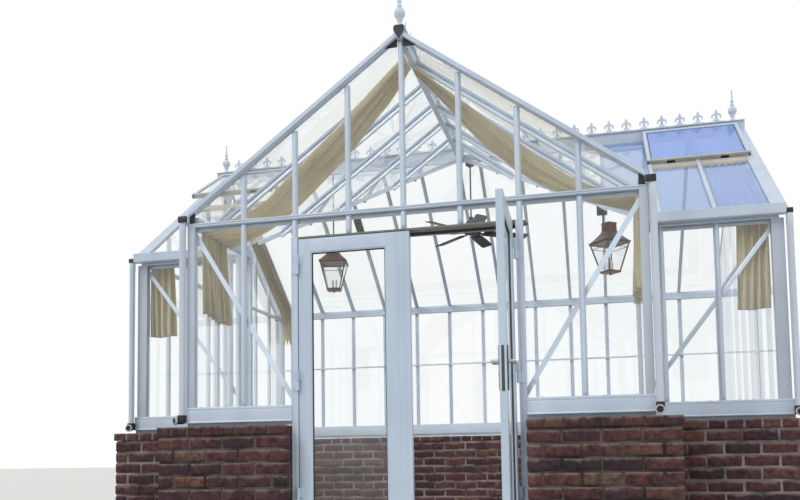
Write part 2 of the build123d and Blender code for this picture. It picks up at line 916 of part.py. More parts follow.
def lever(x, y, outward):
    """A backplate with a lever that points at the hinges on the +X side."""
    plate = block(x - plate_width / 2.0, x + plate_width / 2.0, y,
                  y + outward * plate_thickness, plate_bottom, plate_top)
    neck = Pos(x, y + outward * lever_reach / 2.0, lever_height) * Rot(90, 0, 0) * Cylinder(
        lever_depth / 2.0, lever_reach)
    grip = block(x - lever_depth / 2.0, x + lever_length,
                 y + outward * (lever_reach - lever_thickness), y + outward * lever_reach,
                 lever_height - lever_depth / 2.0, lever_height + lever_depth / 2.0)
    return plate + neck + grip


def swing(part, angle):
    """Turn the right leaf about its hinge line."""
    return Pos(axis_x, axis_y, 0) * Rot(0, 0, angle) * Pos(-axis_x, -axis_y, 0) * part


left_meeting = door_meeting
right_meeting = door_meeting + door_gap
save("left_door", [leaf(-1, left_meeting)])
save("left_door_glass", [leaf_glass(-1, left_meeting)])
save("right_door", [swing(leaf(1, right_meeting), right_door_angle)])
save("right_door_glass", [swing(leaf_glass(1, right_meeting), right_door_angle)])
lever_x = right_meeting + handle_inset
save("right_door_handles", [
    swing(lever(lever_x, -door_front, -1), right_door_angle),
    swing(lever(lever_x, door_back, 1), right_door_angle),
])
save("door_hinge_plates", [
    block(side * axis_x, side * jamb_outer, -door_front - hinge_leaf_thickness,
          -bar_front, level - half_hinge, level)
    + barrel(side * axis_x, axis_y, level - half_hinge, level)
    for side in sides for level in hinge_levels
])


# Finials and the cresting along the ridges.
def finial(x, y, z):
    """A turned spike on the end of a ridge."""
    profile = [(0, 0), (0.62, 0), (0.62, 0.06), (0.34, 0.1), (0.34, 0.17), (0.85, 0.25), (1, 0.33),
               (0.85, 0.4), (0.34, 0.47), (0.26, 0.53), (0.4, 0.61), (0.26, 0.67), (0.14, 0.84),
               (0, 1)]
    face = Face(Wire.make_polygon(
        [Vector(r * finial_radius, 0, h * finial_height) for r, h in profile], close=True))
    return Pos(x, y, z) * revolve(face, Axis.Z, 360)


save("finials", [
    finial(side * main_half_length, ridge_y, main_ridge_top) for side in sides
] + [finial(0, -porch_verge_front / 2.0, porch_ridge_top)])
crest_half = cresting_thickness / 2.0
crest_start = finial_radius + free_gap
save("ridge_cresting", [
    block(-main_half_length + crest_start, main_half_length - crest_start, ridge_y - crest_half,
          ridge_y + crest_half, main_ridge_top, main_ridge_top + cresting_height),
    block(-crest_half, crest_half, crest_start, porch_ridge_end - crest_start, porch_ridge_top,
          porch_ridge_top + cresting_height),
])


# Wind braces inside the glass, and the rail along the rear wall.
def brace(side, x_low, x_high, y):
    """A flat strap from the foot of one post to the top of another."""
    z_low = sill_top + brace_end_drop
    z_high = rail_bottom - brace_end_drop
    middle = y + gt + seat + brace_thickness / 2.0
    half = brace_width / 2.0 / math.cos(math.atan2(z_high - z_low, x_high - x_low))
    return sloping_bar((side * x_low, middle, z_low), (side * x_high, middle, z_high),
                       brace_thickness, half, half)


mid_rail_back = rear_y - gt - seat
save("wind_braces", [
    brace(side, jamb_outer + seat, post_inner - seat, 0) for side in sides
] + [
    brace(side, half_width + frame_inside + seat, main_post_inner - seat, main_y)
    for side in sides
] + [
    block(-main_post_inner + seat, main_post_inner - seat, mid_rail_back - mid_rail_depth,
          mid_rail_back, mid_rail_height, mid_rail_height + mid_rail_size),
])


# Lanterns and fan under the main ridge.
def lantern(x, turn):
    """A square tapering body and its hood under a square cap, turned about its rod."""
    base = lantern_rim - lantern_body_height
    place = Pos(x, ridge_y, 0) * Rot(0, 0, turn)
    body = loft([
        place * Pos(0, 0, base) * Rectangle(lantern_foot_width, lantern_foot_width),
        place * Pos(0, 0, lantern_rim) * Rectangle(lantern_rim_width, lantern_rim_width),
    ])
    hood_top = lantern_rim + lantern_hood_height
    hood = loft([
        place * Pos(0, 0, lantern_rim) * Rectangle(lantern_rim_width, lantern_rim_width),
        place * Pos(0, 0, hood_top) * Rectangle(lantern_hood_top, lantern_hood_top),
    ])
    cap = place * Pos(0, 0, hood_top + lantern_cap_height / 2.0) * Box(
        lantern_hood_top, lantern_hood_top, lantern_cap_height)
    return body, hood + cap


left_body, left_hood = lantern(-left_lantern_x, left_lantern_turn)
right_body, right_hood = lantern(right_lantern_x, right_lantern_turn)
save("lantern_bodies", [left_body, right_body])
save("lantern_hoods", [left_hood, right_hood])
rod_top = main_apex - ridge_below
motor_bottom = fan_height + fan_hub_half + fan_gap
motor_top = motor_bottom + fan_motor_height
save("hanging_rods", [
    tube(side * rod_x, ridge_y, lantern_rim + lantern_hood_height + lantern_cap_height,
         rod_top, rod_radius)
    for side in sides
] + [tube(fan_x, ridge_y, motor_top, rod_top, rod_radius)])
save("fan_motor", [
    tube(fan_x, ridge_y, motor_bottom, motor_top, fan_motor_radius)
    + tube(fan_x, ridge_y, fan_height + fan_hub_half + seat, motor_bottom, rod_radius),
])
blade_start = fan_hub_radius * 0.7
blade_length = fan_radius - blade_start
blades = tube(fan_x, ridge_y, fan_height - fan_hub_half, fan_height + fan_hub_half,
              fan_hub_radius)
for k in range(fan_blades_count):
    blade = Pos(blade_start + blade_length / 2.0, 0, 0) * Rot(fan_blade_pitch, 0, 0) * Box(
        blade_length, fan_blade_width, fan_blade_thickness)
    blades += Pos(fan_x, ridge_y, fan_height) * Rot(0, 0, 360.0 / fan_blades_count * k + 31) * blade
save("fan_blades", [blades])


# Shade cloths: a swag under each porch slope, curtains hung from the ties, a flat cloth under the
# right wing's end bay, and one rolled up under the rear slope.
def swag(side):
    """A sagging sheet from the porch ridge to the eave rail."""
    x0 = ridge_half / 2.0
    x1 = post_inner - seat
    z0 = porch_apex - ridge_below - seat - cloth_thickness - swag_top_drop
    z1 = tie_bottom + cloth_thickness
    lower = []
    for k in range(13):
        t = k / 12.0
        z = z0 + (z1 - z0) * t - swag_depth * 4.0 * t * (1.0 - t)
        lower.append((side * (x0 + (x1 - x0) * t), swag_front, z))
    upper = [(x, y, z + cloth_thickness) for x, y, z in reversed(lower)]
    return prism(lower + upper, (0, 1, 0), swag_back - swag_front)


cloth_top = tie_bottom - seat
main_rail_inner = main_y + frame_inside + seat
wing_curtain_outer = main_post_inner - seat
porch_curtain_x = half_width - gt - cloth_thickness


def slope_cloth(x0, x1, y0, y1, drop, thickness):
    """A cloth lying under a main roof slope, between two places on it."""
    lower = [(x0, y, main_height(y) - drop - thickness) for y in (y0, y1)]
    upper = [(x, y, z + thickness) for x, y, z in reversed(lower)]
    return prism(lower + upper, (1, 0, 0), x1 - x0)


save("shade_cloths", [swag(side) for side in sides] + [
    block(side * wing_curtain_outer, side * (wing_curtain_outer - wing_curtain_width),
          main_rail_inner, main_rail_inner + cloth_thickness, wing_curtain_bottom, tie_top)
    for side in sides
] + [
    block(side * porch_curtain_x, side * (porch_curtain_x - cloth_thickness),
          porch_curtain_start, porch_curtain_end, porch_curtain_bottom, cloth_top)
    for side in sides
] + [
    slope_cloth(wing_bars[-1] + roof_cloth_margin, eave_inner - roof_cloth_margin,
                main_rail_inner, vent_foot, roof_cloth_drop, cloth_thickness),
    slope_cloth(rolled_cloth_x - rolled_cloth_width / 2.0,
                rolled_cloth_x + rolled_cloth_width / 2.0,
                ridge_y + rolled_cloth_top, rear_y - frame_inside - seat,
                rolled_cloth_drop, rolled_cloth_thickness),
])
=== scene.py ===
import bmesh
import bpy
import math
import numpy as np
from mathutils import Matrix


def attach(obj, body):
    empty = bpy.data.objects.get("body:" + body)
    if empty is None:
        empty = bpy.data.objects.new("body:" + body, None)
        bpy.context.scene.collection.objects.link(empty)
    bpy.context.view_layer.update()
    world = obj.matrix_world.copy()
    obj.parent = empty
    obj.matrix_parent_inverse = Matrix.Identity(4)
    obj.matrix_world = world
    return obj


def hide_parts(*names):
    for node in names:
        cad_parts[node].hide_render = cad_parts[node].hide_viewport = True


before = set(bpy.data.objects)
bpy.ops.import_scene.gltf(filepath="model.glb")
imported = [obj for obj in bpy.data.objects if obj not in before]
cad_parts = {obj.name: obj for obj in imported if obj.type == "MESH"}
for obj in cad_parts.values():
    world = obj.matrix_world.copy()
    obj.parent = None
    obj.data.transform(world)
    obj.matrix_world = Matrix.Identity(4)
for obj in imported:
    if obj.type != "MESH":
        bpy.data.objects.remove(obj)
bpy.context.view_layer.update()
print("frame loaded:", len(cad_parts), "nodes")

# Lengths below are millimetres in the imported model's frame; makePiece turns them into metres.
# X runs along the main ridge, Y back from the doorway, Z up; a gap is left between fitted pieces.
house = {
    "bay": 365.0, "halfWidth": 1460.0, "halfLength": 2350.0,
    "frontY": 910.0, "ridgeY": 2370.0, "rearY": 3830.0,
    "porchApex": 3318.0, "mainApex": 3333.0, "roofEdge": 2223.0,
    "porchRun": 1514.0, "mainRun": 1499.0,
    "sillTop": 927.0, "tieBottom": 2147.0, "tieTop": 2172.0, "headTop": 2022.0,
    "jamb": 752.0, "barFront": 34.0, "inside": 18.0, "gap": 0.3, "seed": 7,
}
sides = (-1, 1)
bay, ridgeY, gap = house["bay"], house["ridgeY"], house["gap"]
porchSlope = (house["porchApex"] - house["roofEdge"]) / house["porchRun"]
mainSlope = (house["mainApex"] - house["roofEdge"]) / house["mainRun"]


def porchHeight(x):
    # outer face of the porch roof: it falls evenly from the apex to both sides
    return house["porchApex"] - abs(x) * porchSlope


def mainHeight(y):
    return house["mainApex"] - abs(y - ridgeY) * mainSlope


def joined(parts):
    # several (points, faces) become one, with the face numbers moved on by the points before them
    points, faces, start = [], [], 0
    for somePoints, someFaces in parts:
        points.append(np.asarray(somePoints, float))
        faces += [np.asarray(f) + start for f in someFaces]
        start += len(somePoints)
    return np.concatenate(points), faces


def rounded(corners, radius, steps=2):
    # every corner P gives the curve (1-t)^2 A + 2t(1-t) P + t^2 B,
    # A and B lying a radius from P along its two edges
    p = np.array(corners, float)
    back, on = np.roll(p, 1, 0) - p, np.roll(p, -1, 0) - p
    lengths = [np.linalg.norm(v, axis=1, keepdims=True) for v in (back, on)]
    reach = np.minimum(radius, 0.45 * np.minimum(*lengths))
    a, b = p + back * reach / lengths[0], p + on * reach / lengths[1]
    t = np.linspace(0, 1, steps + 1)[None, :, None]
    curve = (1 - t) ** 2 * a[:, None] + 2 * t * (1 - t) * p[:, None] + t ** 2 * b[:, None]
    return curve.reshape(-1, 2)


def rectangle(x0, x1, y0, y1, radius=2.0, steps=2):
    return rounded([(x0, y0), (x1, y0), (x1, y1), (x0, y1)], radius, steps)


def mirrored(half, radius):
    # an outline from its right half, listed from the foot up, with its mirror image on the left
    return rounded(half + [(-x, z) for x, z in half[::-1]], radius)


def lifted(outline, height):
    # an outline drawn from zero, moved up to its height
    return [(x, z + height) for x, z in outline]


def sweep(profile, path, side, up, scale=None):
    # a point is path + x * side * its scale + y * up * its scale, x and y running round the profile
    profile, path = np.asarray(profile, float), np.asarray(path, float)
    n, m = len(path), len(profile)
    side = np.broadcast_to(np.asarray(side, float), (n, 3))
    up = np.broadcast_to(np.asarray(up, float), (n, 3))
    scale = np.ones((n, 2)) if scale is None else np.asarray(scale, float)
    x = profile[None, :, 0] * scale[:, 0:1]
    y = profile[None, :, 1] * scale[:, 1:2]
    points = path[:, None] + x[..., None] * side[:, None] + y[..., None] * up[:, None]
    following = np.roll(profile, -1, 0)
    turn = np.sum(profile[:, 0] * following[:, 1] - profile[:, 1] * following[:, 0])
    ahead = np.dot(np.cross(side[0], up[0]), path[min(1, n - 1)] - path[0])
    i, j = np.arange(n - 1)[:, None] * m, np.arange(m)[None, :]
    k = (j + 1) % m
    quads = np.stack([i + j, i + k, i + m + k, i + m + j], -1).reshape(-1, 4)
    caps = np.array([np.arange(m)[::-1], (n - 1) * m + np.arange(m)])
    if turn * ahead < 0:
        quads, caps = quads[:, ::-1], caps[:, ::-1]
    return points.reshape(-1, 3), [quads, caps]


def upright(profile, x, y, z0, z1, outward=(0, -1)):
    # a bar along Z: profile x runs across the wall, profile y away from it
    out = np.array([outward[0], outward[1], 0.0])
    return sweep(profile, [(x, y, z0), (x, y, z1)], np.cross(out, (0, 0, 1)), out)


def sloping(profile, start, end):
    # a bar between two points with plumb ends: profile x is level across it, profile y is height
    start, end = np.array(start, float), np.array(end, float)
    run = (end - start) * (1, 1, 0)
    side = np.cross(run / np.linalg.norm(run), (0, 0, 1))
    return sweep(profile, [start, end], side, (0, 0, 1))


def level(profile, start, end, outward):
    # a bar lying level: profile x runs outward, profile y is height
    return sweep(profile, [start, end], (outward[0], outward[1], 0), (0, 0, 1))


def lathe(outline, centre, count=24, axis=(0, 0, 1), ring=False):
    # points (r, h) of an outline turned about an axis, which u and v are square to:
    # centre + h * axis + r * (cos a * u + sin a * v)
    # a ring's outline closes on itself and needs no end faces
    outline = np.array(outline, float)
    axis = np.array(axis, float)
    u = np.cross(axis, (0, 1, 0) if abs(axis[1]) < 0.9 else (1, 0, 0))
    u /= np.linalg.norm(u)
    v = np.cross(axis, u)
    a = np.arange(count) * 2 * math.pi / count
    circle = np.cos(a)[:, None] * u + np.sin(a)[:, None] * v
    points = (np.array(centre, float) + outline[:, None, 1:] * axis
              + np.maximum(outline[:, 0:1, None], 0.02) * circle)
    n = len(outline)
    i, j = np.arange(n - (not ring))[:, None] * count, np.arange(count)[None, :]
    k, following = (j + 1) % count, (i + count) % (n * count)
    quads = np.stack([i + j, i + k, following + k, following + j], -1).reshape(-1, 4)
    if ring:
        return points.reshape(-1, 3), [quads]
    caps = np.array([np.arange(count)[::-1], (n - 1) * count + np.arange(count)])
    return points.reshape(-1, 3), [quads, caps]


def shellNumbers(counts):
    # the outer points of a lattice numbered in order, and the four-cornered faces between them
    grid = np.indices(counts)
    edge = np.zeros(counts, bool)
    for g, c in zip(grid, counts):
        edge |= (g == 0) | (g == c - 1)
    number = np.full(counts, -1)
    number[edge] = np.arange(edge.sum())

    def sheet(s, flip):
        q = np.stack([s[:-1, :-1], s[1:, :-1], s[1:, 1:], s[:-1, 1:]], -1).reshape(-1, 4)
        return q[:, ::-1] if flip else q

    quads = np.concatenate([
        sheet(number[0], True), sheet(number[-1], False), sheet(number[:, 0], False),
        sheet(number[:, -1], True), sheet(number[:, :, 0], True), sheet(number[:, :, -1], False),
    ])
    return np.argwhere(edge), quads


def roundBlocks(lows, highs, radius, counts=(4, 4, 4)):
    # boxes with rounded edges: a point is the nearest one of the inner box, which is smaller by the
    # radius all round, plus the radius times the unit vector that leads away from it
    lows, highs = np.atleast_2d(lows).astype(float), np.atleast_2d(highs).astype(float)
    where, quads = shellNumbers(counts)
    half = (highs - lows) / 2
    radius = np.minimum(radius, half.min(1))[:, None, None]
    spots = []
    for axis, c in enumerate(counts):
        w = where[:, axis]
        inside = np.clip((w - 1) / max(c - 3, 1), 0, 1) * 2 - 1
        h, r = half[:, axis, None], radius[:, :, 0]
        spots.append(np.where(w == 0, -h, np.where(w == c - 1, h, inside * (h - r))))
    p = np.stack(spots, -1)
    inner = np.clip(p, -(half[:, None] - radius), half[:, None] - radius)
    away = p - inner
    away /= np.maximum(np.linalg.norm(away, axis=-1, keepdims=True), 1e-9)
    points = inner + away * radius + ((lows + highs) / 2)[:, None]
    faces = quads[None] + (np.arange(len(lows)) * len(where))[:, None, None]
    return points.reshape(-1, 3), [faces.reshape(-1, 4)]


def turned(part, angle, centre):
    # a part turned about an upright line through centre
    c, s = math.cos(math.radians(angle)), math.sin(math.radians(angle))
    points = part[0] - np.array([centre[0], centre[1], 0.0])
    points = points @ np.array([[c, s, 0], [-s, c, 0], [0, 0, 1]])
    return points + np.array([centre[0], centre[1], 0.0]), part[1]


def repeated(part, offsets):
    # one part set down at every offset
    points, faces = part
    offsets = np.atleast_2d(offsets).astype(float)
    shift = (np.arange(len(offsets)) * len(points))[:, None, None]
    return (points[None] + offsets[:, None]).reshape(-1, 3), [
        (f[None] + shift).reshape(-1, f.shape[1]) for f in faces
    ]


def addPiece(name, mesh, look, replaces, body="house", sharp=32):
    # the object stays at the origin; it gets its finish, its body and the nodes that it stands for
    mesh.shade_smooth()
    mesh.set_sharp_from_angle(angle=math.radians(sharp))
    mesh.materials.clear()
    mesh.materials.append(finish[look])
    piece = bpy.data.objects.new(name, mesh)
    bpy.context.scene.collection.objects.link(piece)
    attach(piece, body)
    if replaces:
        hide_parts(*replaces)
    return piece


def makePiece(name, look, parts, replaces=(), body="house", sharp=32, tones=None):
    # parts are (points, faces) pairs in millimetres, and tones is one value a point for the shader
    points, faces = joined(parts)
    mesh = bpy.data.meshes.new(name)
    mesh.vertices.add(len(points))
    mesh.vertices.foreach_set("co", (points * 0.001).astype(np.float32).ravel())
    loops = np.concatenate([f.ravel() for f in faces]).astype(np.int32)
    sizes = np.concatenate([np.full(len(f), f.shape[1]) for f in faces])
    mesh.loops.add(len(loops))
    mesh.loops.foreach_set("vertex_index", loops)
    mesh.polygons.add(len(sizes))
    mesh.polygons.foreach_set("loop_start", (np.cumsum(sizes) - sizes).astype(np.int32))
    mesh.update(calc_edges=True)
    if tones is not None:
        mesh.attributes.new("tone", "FLOAT", "POINT").data.foreach_set(
            "value", np.asarray(tones, np.float32))
    return addPiece(name, mesh, look, replaces, body, sharp)


def softened(node, look, width=1.5):
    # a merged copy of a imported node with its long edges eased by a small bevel
    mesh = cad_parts[node].data.copy()
    mesh.name = node + "_eased"
    weld = bmesh.new()
    weld.from_mesh(mesh)
    bmesh.ops.remove_doubles(weld, verts=weld.verts, dist=0.00002)
    bmesh.ops.dissolve_limit(weld, angle_limit=math.radians(1), verts=weld.verts, edges=weld.edges)
    weld.to_mesh(mesh)
    weld.free()
    piece = addPiece(node + "_eased", mesh, look, [node])
    bevel = piece.modifiers.new("eased edges", "BEVEL")
    bevel.width = width * 0.001
    bevel.segments = 2
    bevel.limit_method = "ANGLE"
    bevel.harden_normals = True
    return piece


def colour(code, alpha=1.0):
    # "#rrggbb" as written for a screen, turned to linear light
    c = np.array([int(code[i:i + 2], 16) for i in (1, 3, 5)]) / 255.0
    c = np.where(c <= 0.04045, c / 12.92, ((c + 0.055) / 1.055) ** 2.4)
    return (*c.tolist(), alpha)


def addNode(tree, kind, inputs=None, stops=(), **settings):
    # one node: settings are its own fields, and an input is a value, an output or a node, which
    # stands for its first live output; a colour ramp's stops are (position, hex colour)
    made = tree.nodes.new("ShaderNode" + kind)
    for key, value in settings.items():
        setattr(made, key, value)
    for key, value in (inputs or {}).items():
        if isinstance(value, bpy.types.Node):
            value = next(output for output in value.outputs if output.enabled)
        if isinstance(value, bpy.types.NodeSocket):
            tree.links.new(value, made.inputs[key])
        else:
            made.inputs[key].default_value = value
    if stops:
        marks = made.color_ramp.elements
        while len(marks) < len(stops):
            marks.new(0.5)
        for mark, (position, code) in zip(marks, stops):
            mark.position, mark.color = position, colour(code)
    return made


def startMaterial(name):
    material = bpy.data.materials.new(name)
    material.use_nodes = True
    material.node_tree.nodes.clear()
    place = addNode(material.node_tree, "TexCoord").outputs["Object"]
    return material, material.node_tree, place


def powderCoat(name, base, shade, roughness):
    # powder-coated aluminium: a baked polyester skin, satin, with a faint orange peel, which is
    # about 1 mm on the real one and drawn 5 mm so that it shows; weather leaves a thin grey film
    material, tree, place = startMaterial(name)
    film = addNode(tree, "TexNoise", {"Vector": place, "Scale": 1.6, "Detail": 4.0})
    runs = addNode(tree, "Mapping", {"Vector": place, "Scale": (6.0, 6.0, 0.9)})
    streaks = addNode(tree, "TexNoise", {"Vector": runs, "Scale": 1.0, "Detail": 3.0})
    both = addNode(tree, "Math", {0: film, 1: streaks}, operation="MULTIPLY")
    tint = addNode(tree, "ValToRGB", {"Fac": both}, [(0.06, shade), (0.3, base)])
    grain = addNode(tree, "TexNoise", {"Vector": place, "Scale": 200.0, "Detail": 2.0})
    gloss = addNode(tree, "MapRange", {
        "Value": grain, "To Min": roughness - 0.06, "To Max": roughness + 0.08})
    peel = addNode(tree, "Bump", {"Height": grain, "Strength": 0.08, "Distance": 0.001})
    shader = addNode(tree, "BsdfPrincipled", {
        "Base Color": tint, "Roughness": gloss, "Normal": peel,
        "IOR": 1.5})
    addNode(tree, "OutputMaterial", {"Surface": shader})
    return material


def clearGlass(name, tint="#fbfdfd", clear=1.0, beyond=None):
    # float glass: clear, faintly green-blue in the edge, a soft waviness in what it mirrors
    # a painted sky reflection: beyond that many metres along X the pane is tinted and less clear
    material, tree, place = startMaterial(name)
    wave = addNode(tree, "TexNoise", {"Vector": place, "Scale": 2.2, "Detail": 1.0})
    bend = addNode(tree, "Bump", {"Height": wave, "Strength": 0.05, "Distance": 0.002})
    body, through = colour("#fbfdfd"), 1.0
    if beyond is not None:
        across = addNode(tree, "SeparateXYZ", {"Vector": place})
        paintedSky = addNode(tree, "Math", {0: across, 1: beyond}, operation="GREATER_THAN")
        body = addNode(tree, "Mix", {0: paintedSky, 6: body, 7: colour(tint)}, data_type="RGBA")
        through = addNode(tree, "MapRange", {"Value": paintedSky, "To Min": 1.0, "To Max": clear})
    shader = addNode(tree, "BsdfPrincipled", {
        "Base Color": body, "Roughness": 0.0, "Normal": bend, "IOR": 1.5,
        "Transmission Weight": through})
    addNode(tree, "OutputMaterial", {"Surface": shader})
    return material


def tumbledBrick(name):
    # tumbled clay brick: fired dark red to purple, matt, pitted, its colour changing brick by brick
    material, tree, place = startMaterial(name)
    tone = addNode(tree, "Attribute", attribute_name="tone")
    body = addNode(tree, "ValToRGB", {"Fac": tone.outputs["Fac"]}, [
        (0.0, "#2f2a2c"), (0.16, "#402d33"), (0.42, "#52343a"), (0.66, "#5e3a3a"),
        (0.84, "#6a4a41"), (1.0, "#645a4e")])
    blotch = addNode(tree, "TexNoise", {
        "Vector": place, "Scale": 26.0, "Detail": 6.0, "Roughness": 0.62})
    dark = addNode(tree, "ValToRGB", {"Fac": blotch}, [(0.32, "#8d8288"), (0.62, "#ffffff")])
    mixed = addNode(tree, "Mix", {0: 1.0, 6: body, 7: dark}, data_type="RGBA",
                    blend_type="MULTIPLY")
    limeSmearAndHighlight = addNode(tree, "TexNoise", {
        "Vector": place, "Scale": 11.0, "Detail": 8.0, "Roughness": 0.7})
    # a per-point weight that brings lime to the arrises and paints a highlight on the top ones
    arris = addNode(tree, "Attribute", attribute_name="limeSmearAndHighlight")
    close = addNode(tree, "Math", {0: arris.outputs["Fac"], 1: 5.0}, operation="POWER")
    reach = addNode(tree, "Math", {0: close, 1: 0.28}, operation="MULTIPLY")
    spread = addNode(tree, "Math", {0: limeSmearAndHighlight, 1: reach}, operation="ADD")
    lime = addNode(tree, "MapRange", {
        "Value": spread, "From Min": 0.6, "From Max": 0.84, "To Max": 0.6})
    face = addNode(tree, "Mix", {0: lime, 6: mixed, 7: colour("#8a7d74")}, data_type="RGBA")
    pits = addNode(tree, "TexNoise", {
        "Vector": place, "Scale": 120.0, "Detail": 6.0, "Roughness": 0.7})
    relief = addNode(tree, "Bump", {"Height": pits, "Strength": 0.55, "Distance": 0.004})
    shader = addNode(tree, "BsdfPrincipled", {
        "Base Color": face, "Roughness": 0.92, "Normal": relief,
        "IOR": 1.45})
    addNode(tree, "OutputMaterial", {"Surface": shader})
    return material


def sandMortar(name, dark, light):
    # lime and sand mortar, light grey to beige, with 2 mm sand drawn 4 mm
    material, tree, place = startMaterial(name)
    sand = addNode(tree, "TexNoise", {
        "Vector": place, "Scale": 240.0, "Detail": 3.0, "Roughness": 0.7})
    damp = addNode(tree, "TexNoise", {"Vector": place, "Scale": 5.0, "Detail": 5.0})
    fine = addNode(tree, "ValToRGB", {"Fac": sand}, [(0.3, dark), (0.7, light)])
    wet = addNode(tree, "ValToRGB", {"Fac": damp}, [(0.38, "#6e6763"), (0.62, "#ffffff")])
    mixed = addNode(tree, "Mix", {0: 1.0, 6: fine, 7: wet}, data_type="RGBA",
                    blend_type="MULTIPLY")
    relief = addNode(tree, "Bump", {"Height": sand, "Strength": 0.6, "Distance": 0.003})
    shader = addNode(tree, "BsdfPrincipled", {
        "Base Color": mixed, "Roughness": 0.95, "Normal": relief})
    addNode(tree, "OutputMaterial", {"Surface": shader})
    return material


def plainPolymer(name, base, light, roughness):
    # moulded plastic or rubber: even colour with a fine moulded grain, drawn 3 mm
    material, tree, place = startMaterial(name)
    grain = addNode(tree, "TexNoise", {"Vector": place, "Scale": 320.0, "Detail": 2.0})
    tint = addNode(tree, "ValToRGB", {"Fac": grain}, [(0.3, base), (0.7, light)])
    relief = addNode(tree, "Bump", {"Height": grain, "Strength": 0.1, "Distance": 0.001})
    shader = addNode(tree, "BsdfPrincipled", {
        "Base Color": tint, "Roughness": roughness, "Normal": relief,
        "IOR": 1.5})
    addNode(tree, "OutputMaterial", {"Surface": shader})
    return material


def agedMetal(name, dark, bright, metallic, roughness, size):
    # bare metal gone dull: brighter on worn patches, patches size millimetres across
    material, tree, place = startMaterial(name)
    patch = addNode(tree, "TexNoise", {
        "Vector": place, "Scale": 1000.0 / size, "Detail": 6.0, "Roughness": 0.65})
    tint = addNode(tree, "ValToRGB", {"Fac": patch}, [(0.32, dark), (0.7, bright)])
    gloss = addNode(tree, "MapRange", {
        "Value": patch, "To Min": roughness + 0.12, "To Max": roughness - 0.1})
    relief = addNode(tree, "Bump", {"Height": patch, "Strength": 0.15, "Distance": 0.001})
    shader = addNode(tree, "BsdfPrincipled", {
        "Base Color": tint, "Roughness": gloss, "Metallic": metallic,
        "Normal": relief})
    addNode(tree, "OutputMaterial", {"Surface": shader})
    return material


def wovenShade(name, tints):
    # knitted shade cloth, cream gone tan: threads 2 mm apart drawn 12 mm, light soaking through
    material, tree, place = startMaterial(name)
    flat = addNode(tree, "UVMap", uv_map="cloth")
    threads = []
    for direction in ("X", "Y"):
        line = addNode(tree, "TexWave", {
            "Vector": flat, "Scale": 26.0, "Distortion": 0.6, "Detail": 1.0},
            wave_type="BANDS", bands_direction=direction, wave_profile="SIN")
        threads.append(line.outputs["Fac"])
    weave = addNode(tree, "Math", {0: threads[0], 1: threads[1]}, operation="MAXIMUM")
    age = addNode(tree, "TexNoise", {"Vector": flat, "Scale": 2.2, "Detail": 5.0})
    tint = addNode(tree, "ValToRGB", {"Fac": age}, list(zip((0.3, 0.52, 0.75), tints)))
    thread = addNode(tree, "ValToRGB", {"Fac": weave}, [(0.1, "#c9c2b6"), (0.8, "#ffffff")])
    mixed = addNode(tree, "Mix", {0: 1.0, 6: tint, 7: thread}, data_type="RGBA",
                    blend_type="MULTIPLY")
    relief = addNode(tree, "Bump", {"Height": weave, "Strength": 0.3, "Distance": 0.002})
    shader = addNode(tree, "BsdfPrincipled", {
        "Base Color": mixed, "Roughness": 0.88, "Normal": relief,
        "Sheen Weight": 0.2, "Subsurface Weight": 0.5, "Subsurface Scale": 0.012,
        "Subsurface Radius": (1.0, 0.86, 0.6)})
    addNode(tree, "OutputMaterial", {"Surface": shader})
    return material


finish = {
    # the frame's blue-grey is painted shade and sky light: the real coat is white
    "frame": powderCoat("powder_coated_aluminium", "#c9d5e4", "#b9c6d7", 0.34),
    # the pipe's blue-grey is painted shade and sky light: the real pipe is white
    "pipe": powderCoat("white_pvc_pipe", "#ccd5e1", "#bec8d4", 0.3),
    # a darker blue-grey copy of the frame's coat: painted shade and reflection on the door leaves
    "leaf": powderCoat("powder_coated_door", "#bfcede", "#b0bfd0", 0.32),
    "head": powderCoat("shaded_head_rail", "#96978e", "#7e7f77", 0.4),
    # a greyer copy of the frame's coat: painted shade and reflection on the corner posts
    "post": powderCoat("corner_post_painted_shade", "#bec8d3", "#a9b3bb", 0.36),
    # a beige-grey copy of the frame's coat: painted shade and reflection on the vent rails and
    # transoms
    "ventRail": powderCoat("vent_rail_painted_shade", "#c2bfb6", "#a9a69d", 0.42),
    "wallGlass": clearGlass("float_glass"),
    # the blue of these two is a painted sky reflection
    "roofGlass": clearGlass("sky_lit_roof_glass", "#a9c0e6", 0.8, 1.25),
    "ventGlass": clearGlass("sky_lit_vent_glass", "#8dafec", 0.5, 0.0),
    "brick": tumbledBrick("tumbled_clay_brick"),
    "mortar": sandMortar("lime_sand_mortar", "#7b7270", "#a09696"),
    # a darker copy of the mortar: painted shade in the porch walls' joints
    "shadedMortar": sandMortar("sand_mortar_painted_shade", "#463f3a", "#6c625a"),
    "black": plainPolymer("black_nylon", "#131416", "#1d1e21", 0.45),
    # black rubber, also standing in for the shadow in the door panes' recesses
    "gasketAndShadow": plainPolymer("black_rubber_and_painted_shadow", "#1b1c1e", "#26272a", 0.6),
    "grommet": plainPolymer("grey_pvc_outlet", "#b9bdc1", "#c9cdd0", 0.4),
    "copper": agedMetal("aged_copper", "#2e1813", "#6e3a2d", 1.0, 0.42, 30.0),
    "bronze": agedMetal("oil_rubbed_bronze", "#151315", "#242023", 0.4, 0.5, 60.0),
    "steel": agedMetal("satin_stainless", "#a9adb0", "#c6cacd", 1.0, 0.32, 20.0),
    "plate": agedMetal("weathered_handle_plate", "#3a3f36", "#565c4e", 0.4, 0.5, 25.0),
    "candle": plainPolymer("ivory_candle_tube", "#ded6c4", "#ece5d6", 0.5),
    "cloth": wovenShade("knitted_shade_cloth", ("#9f8f70", "#b6ac93", "#c4bdaa")),
    "paleCloth": wovenShade("bleached_shade_cloth", ("#c8c7ce", "#d8d7de", "#e6e6eb")),
}
print("materials made:", len(finish))

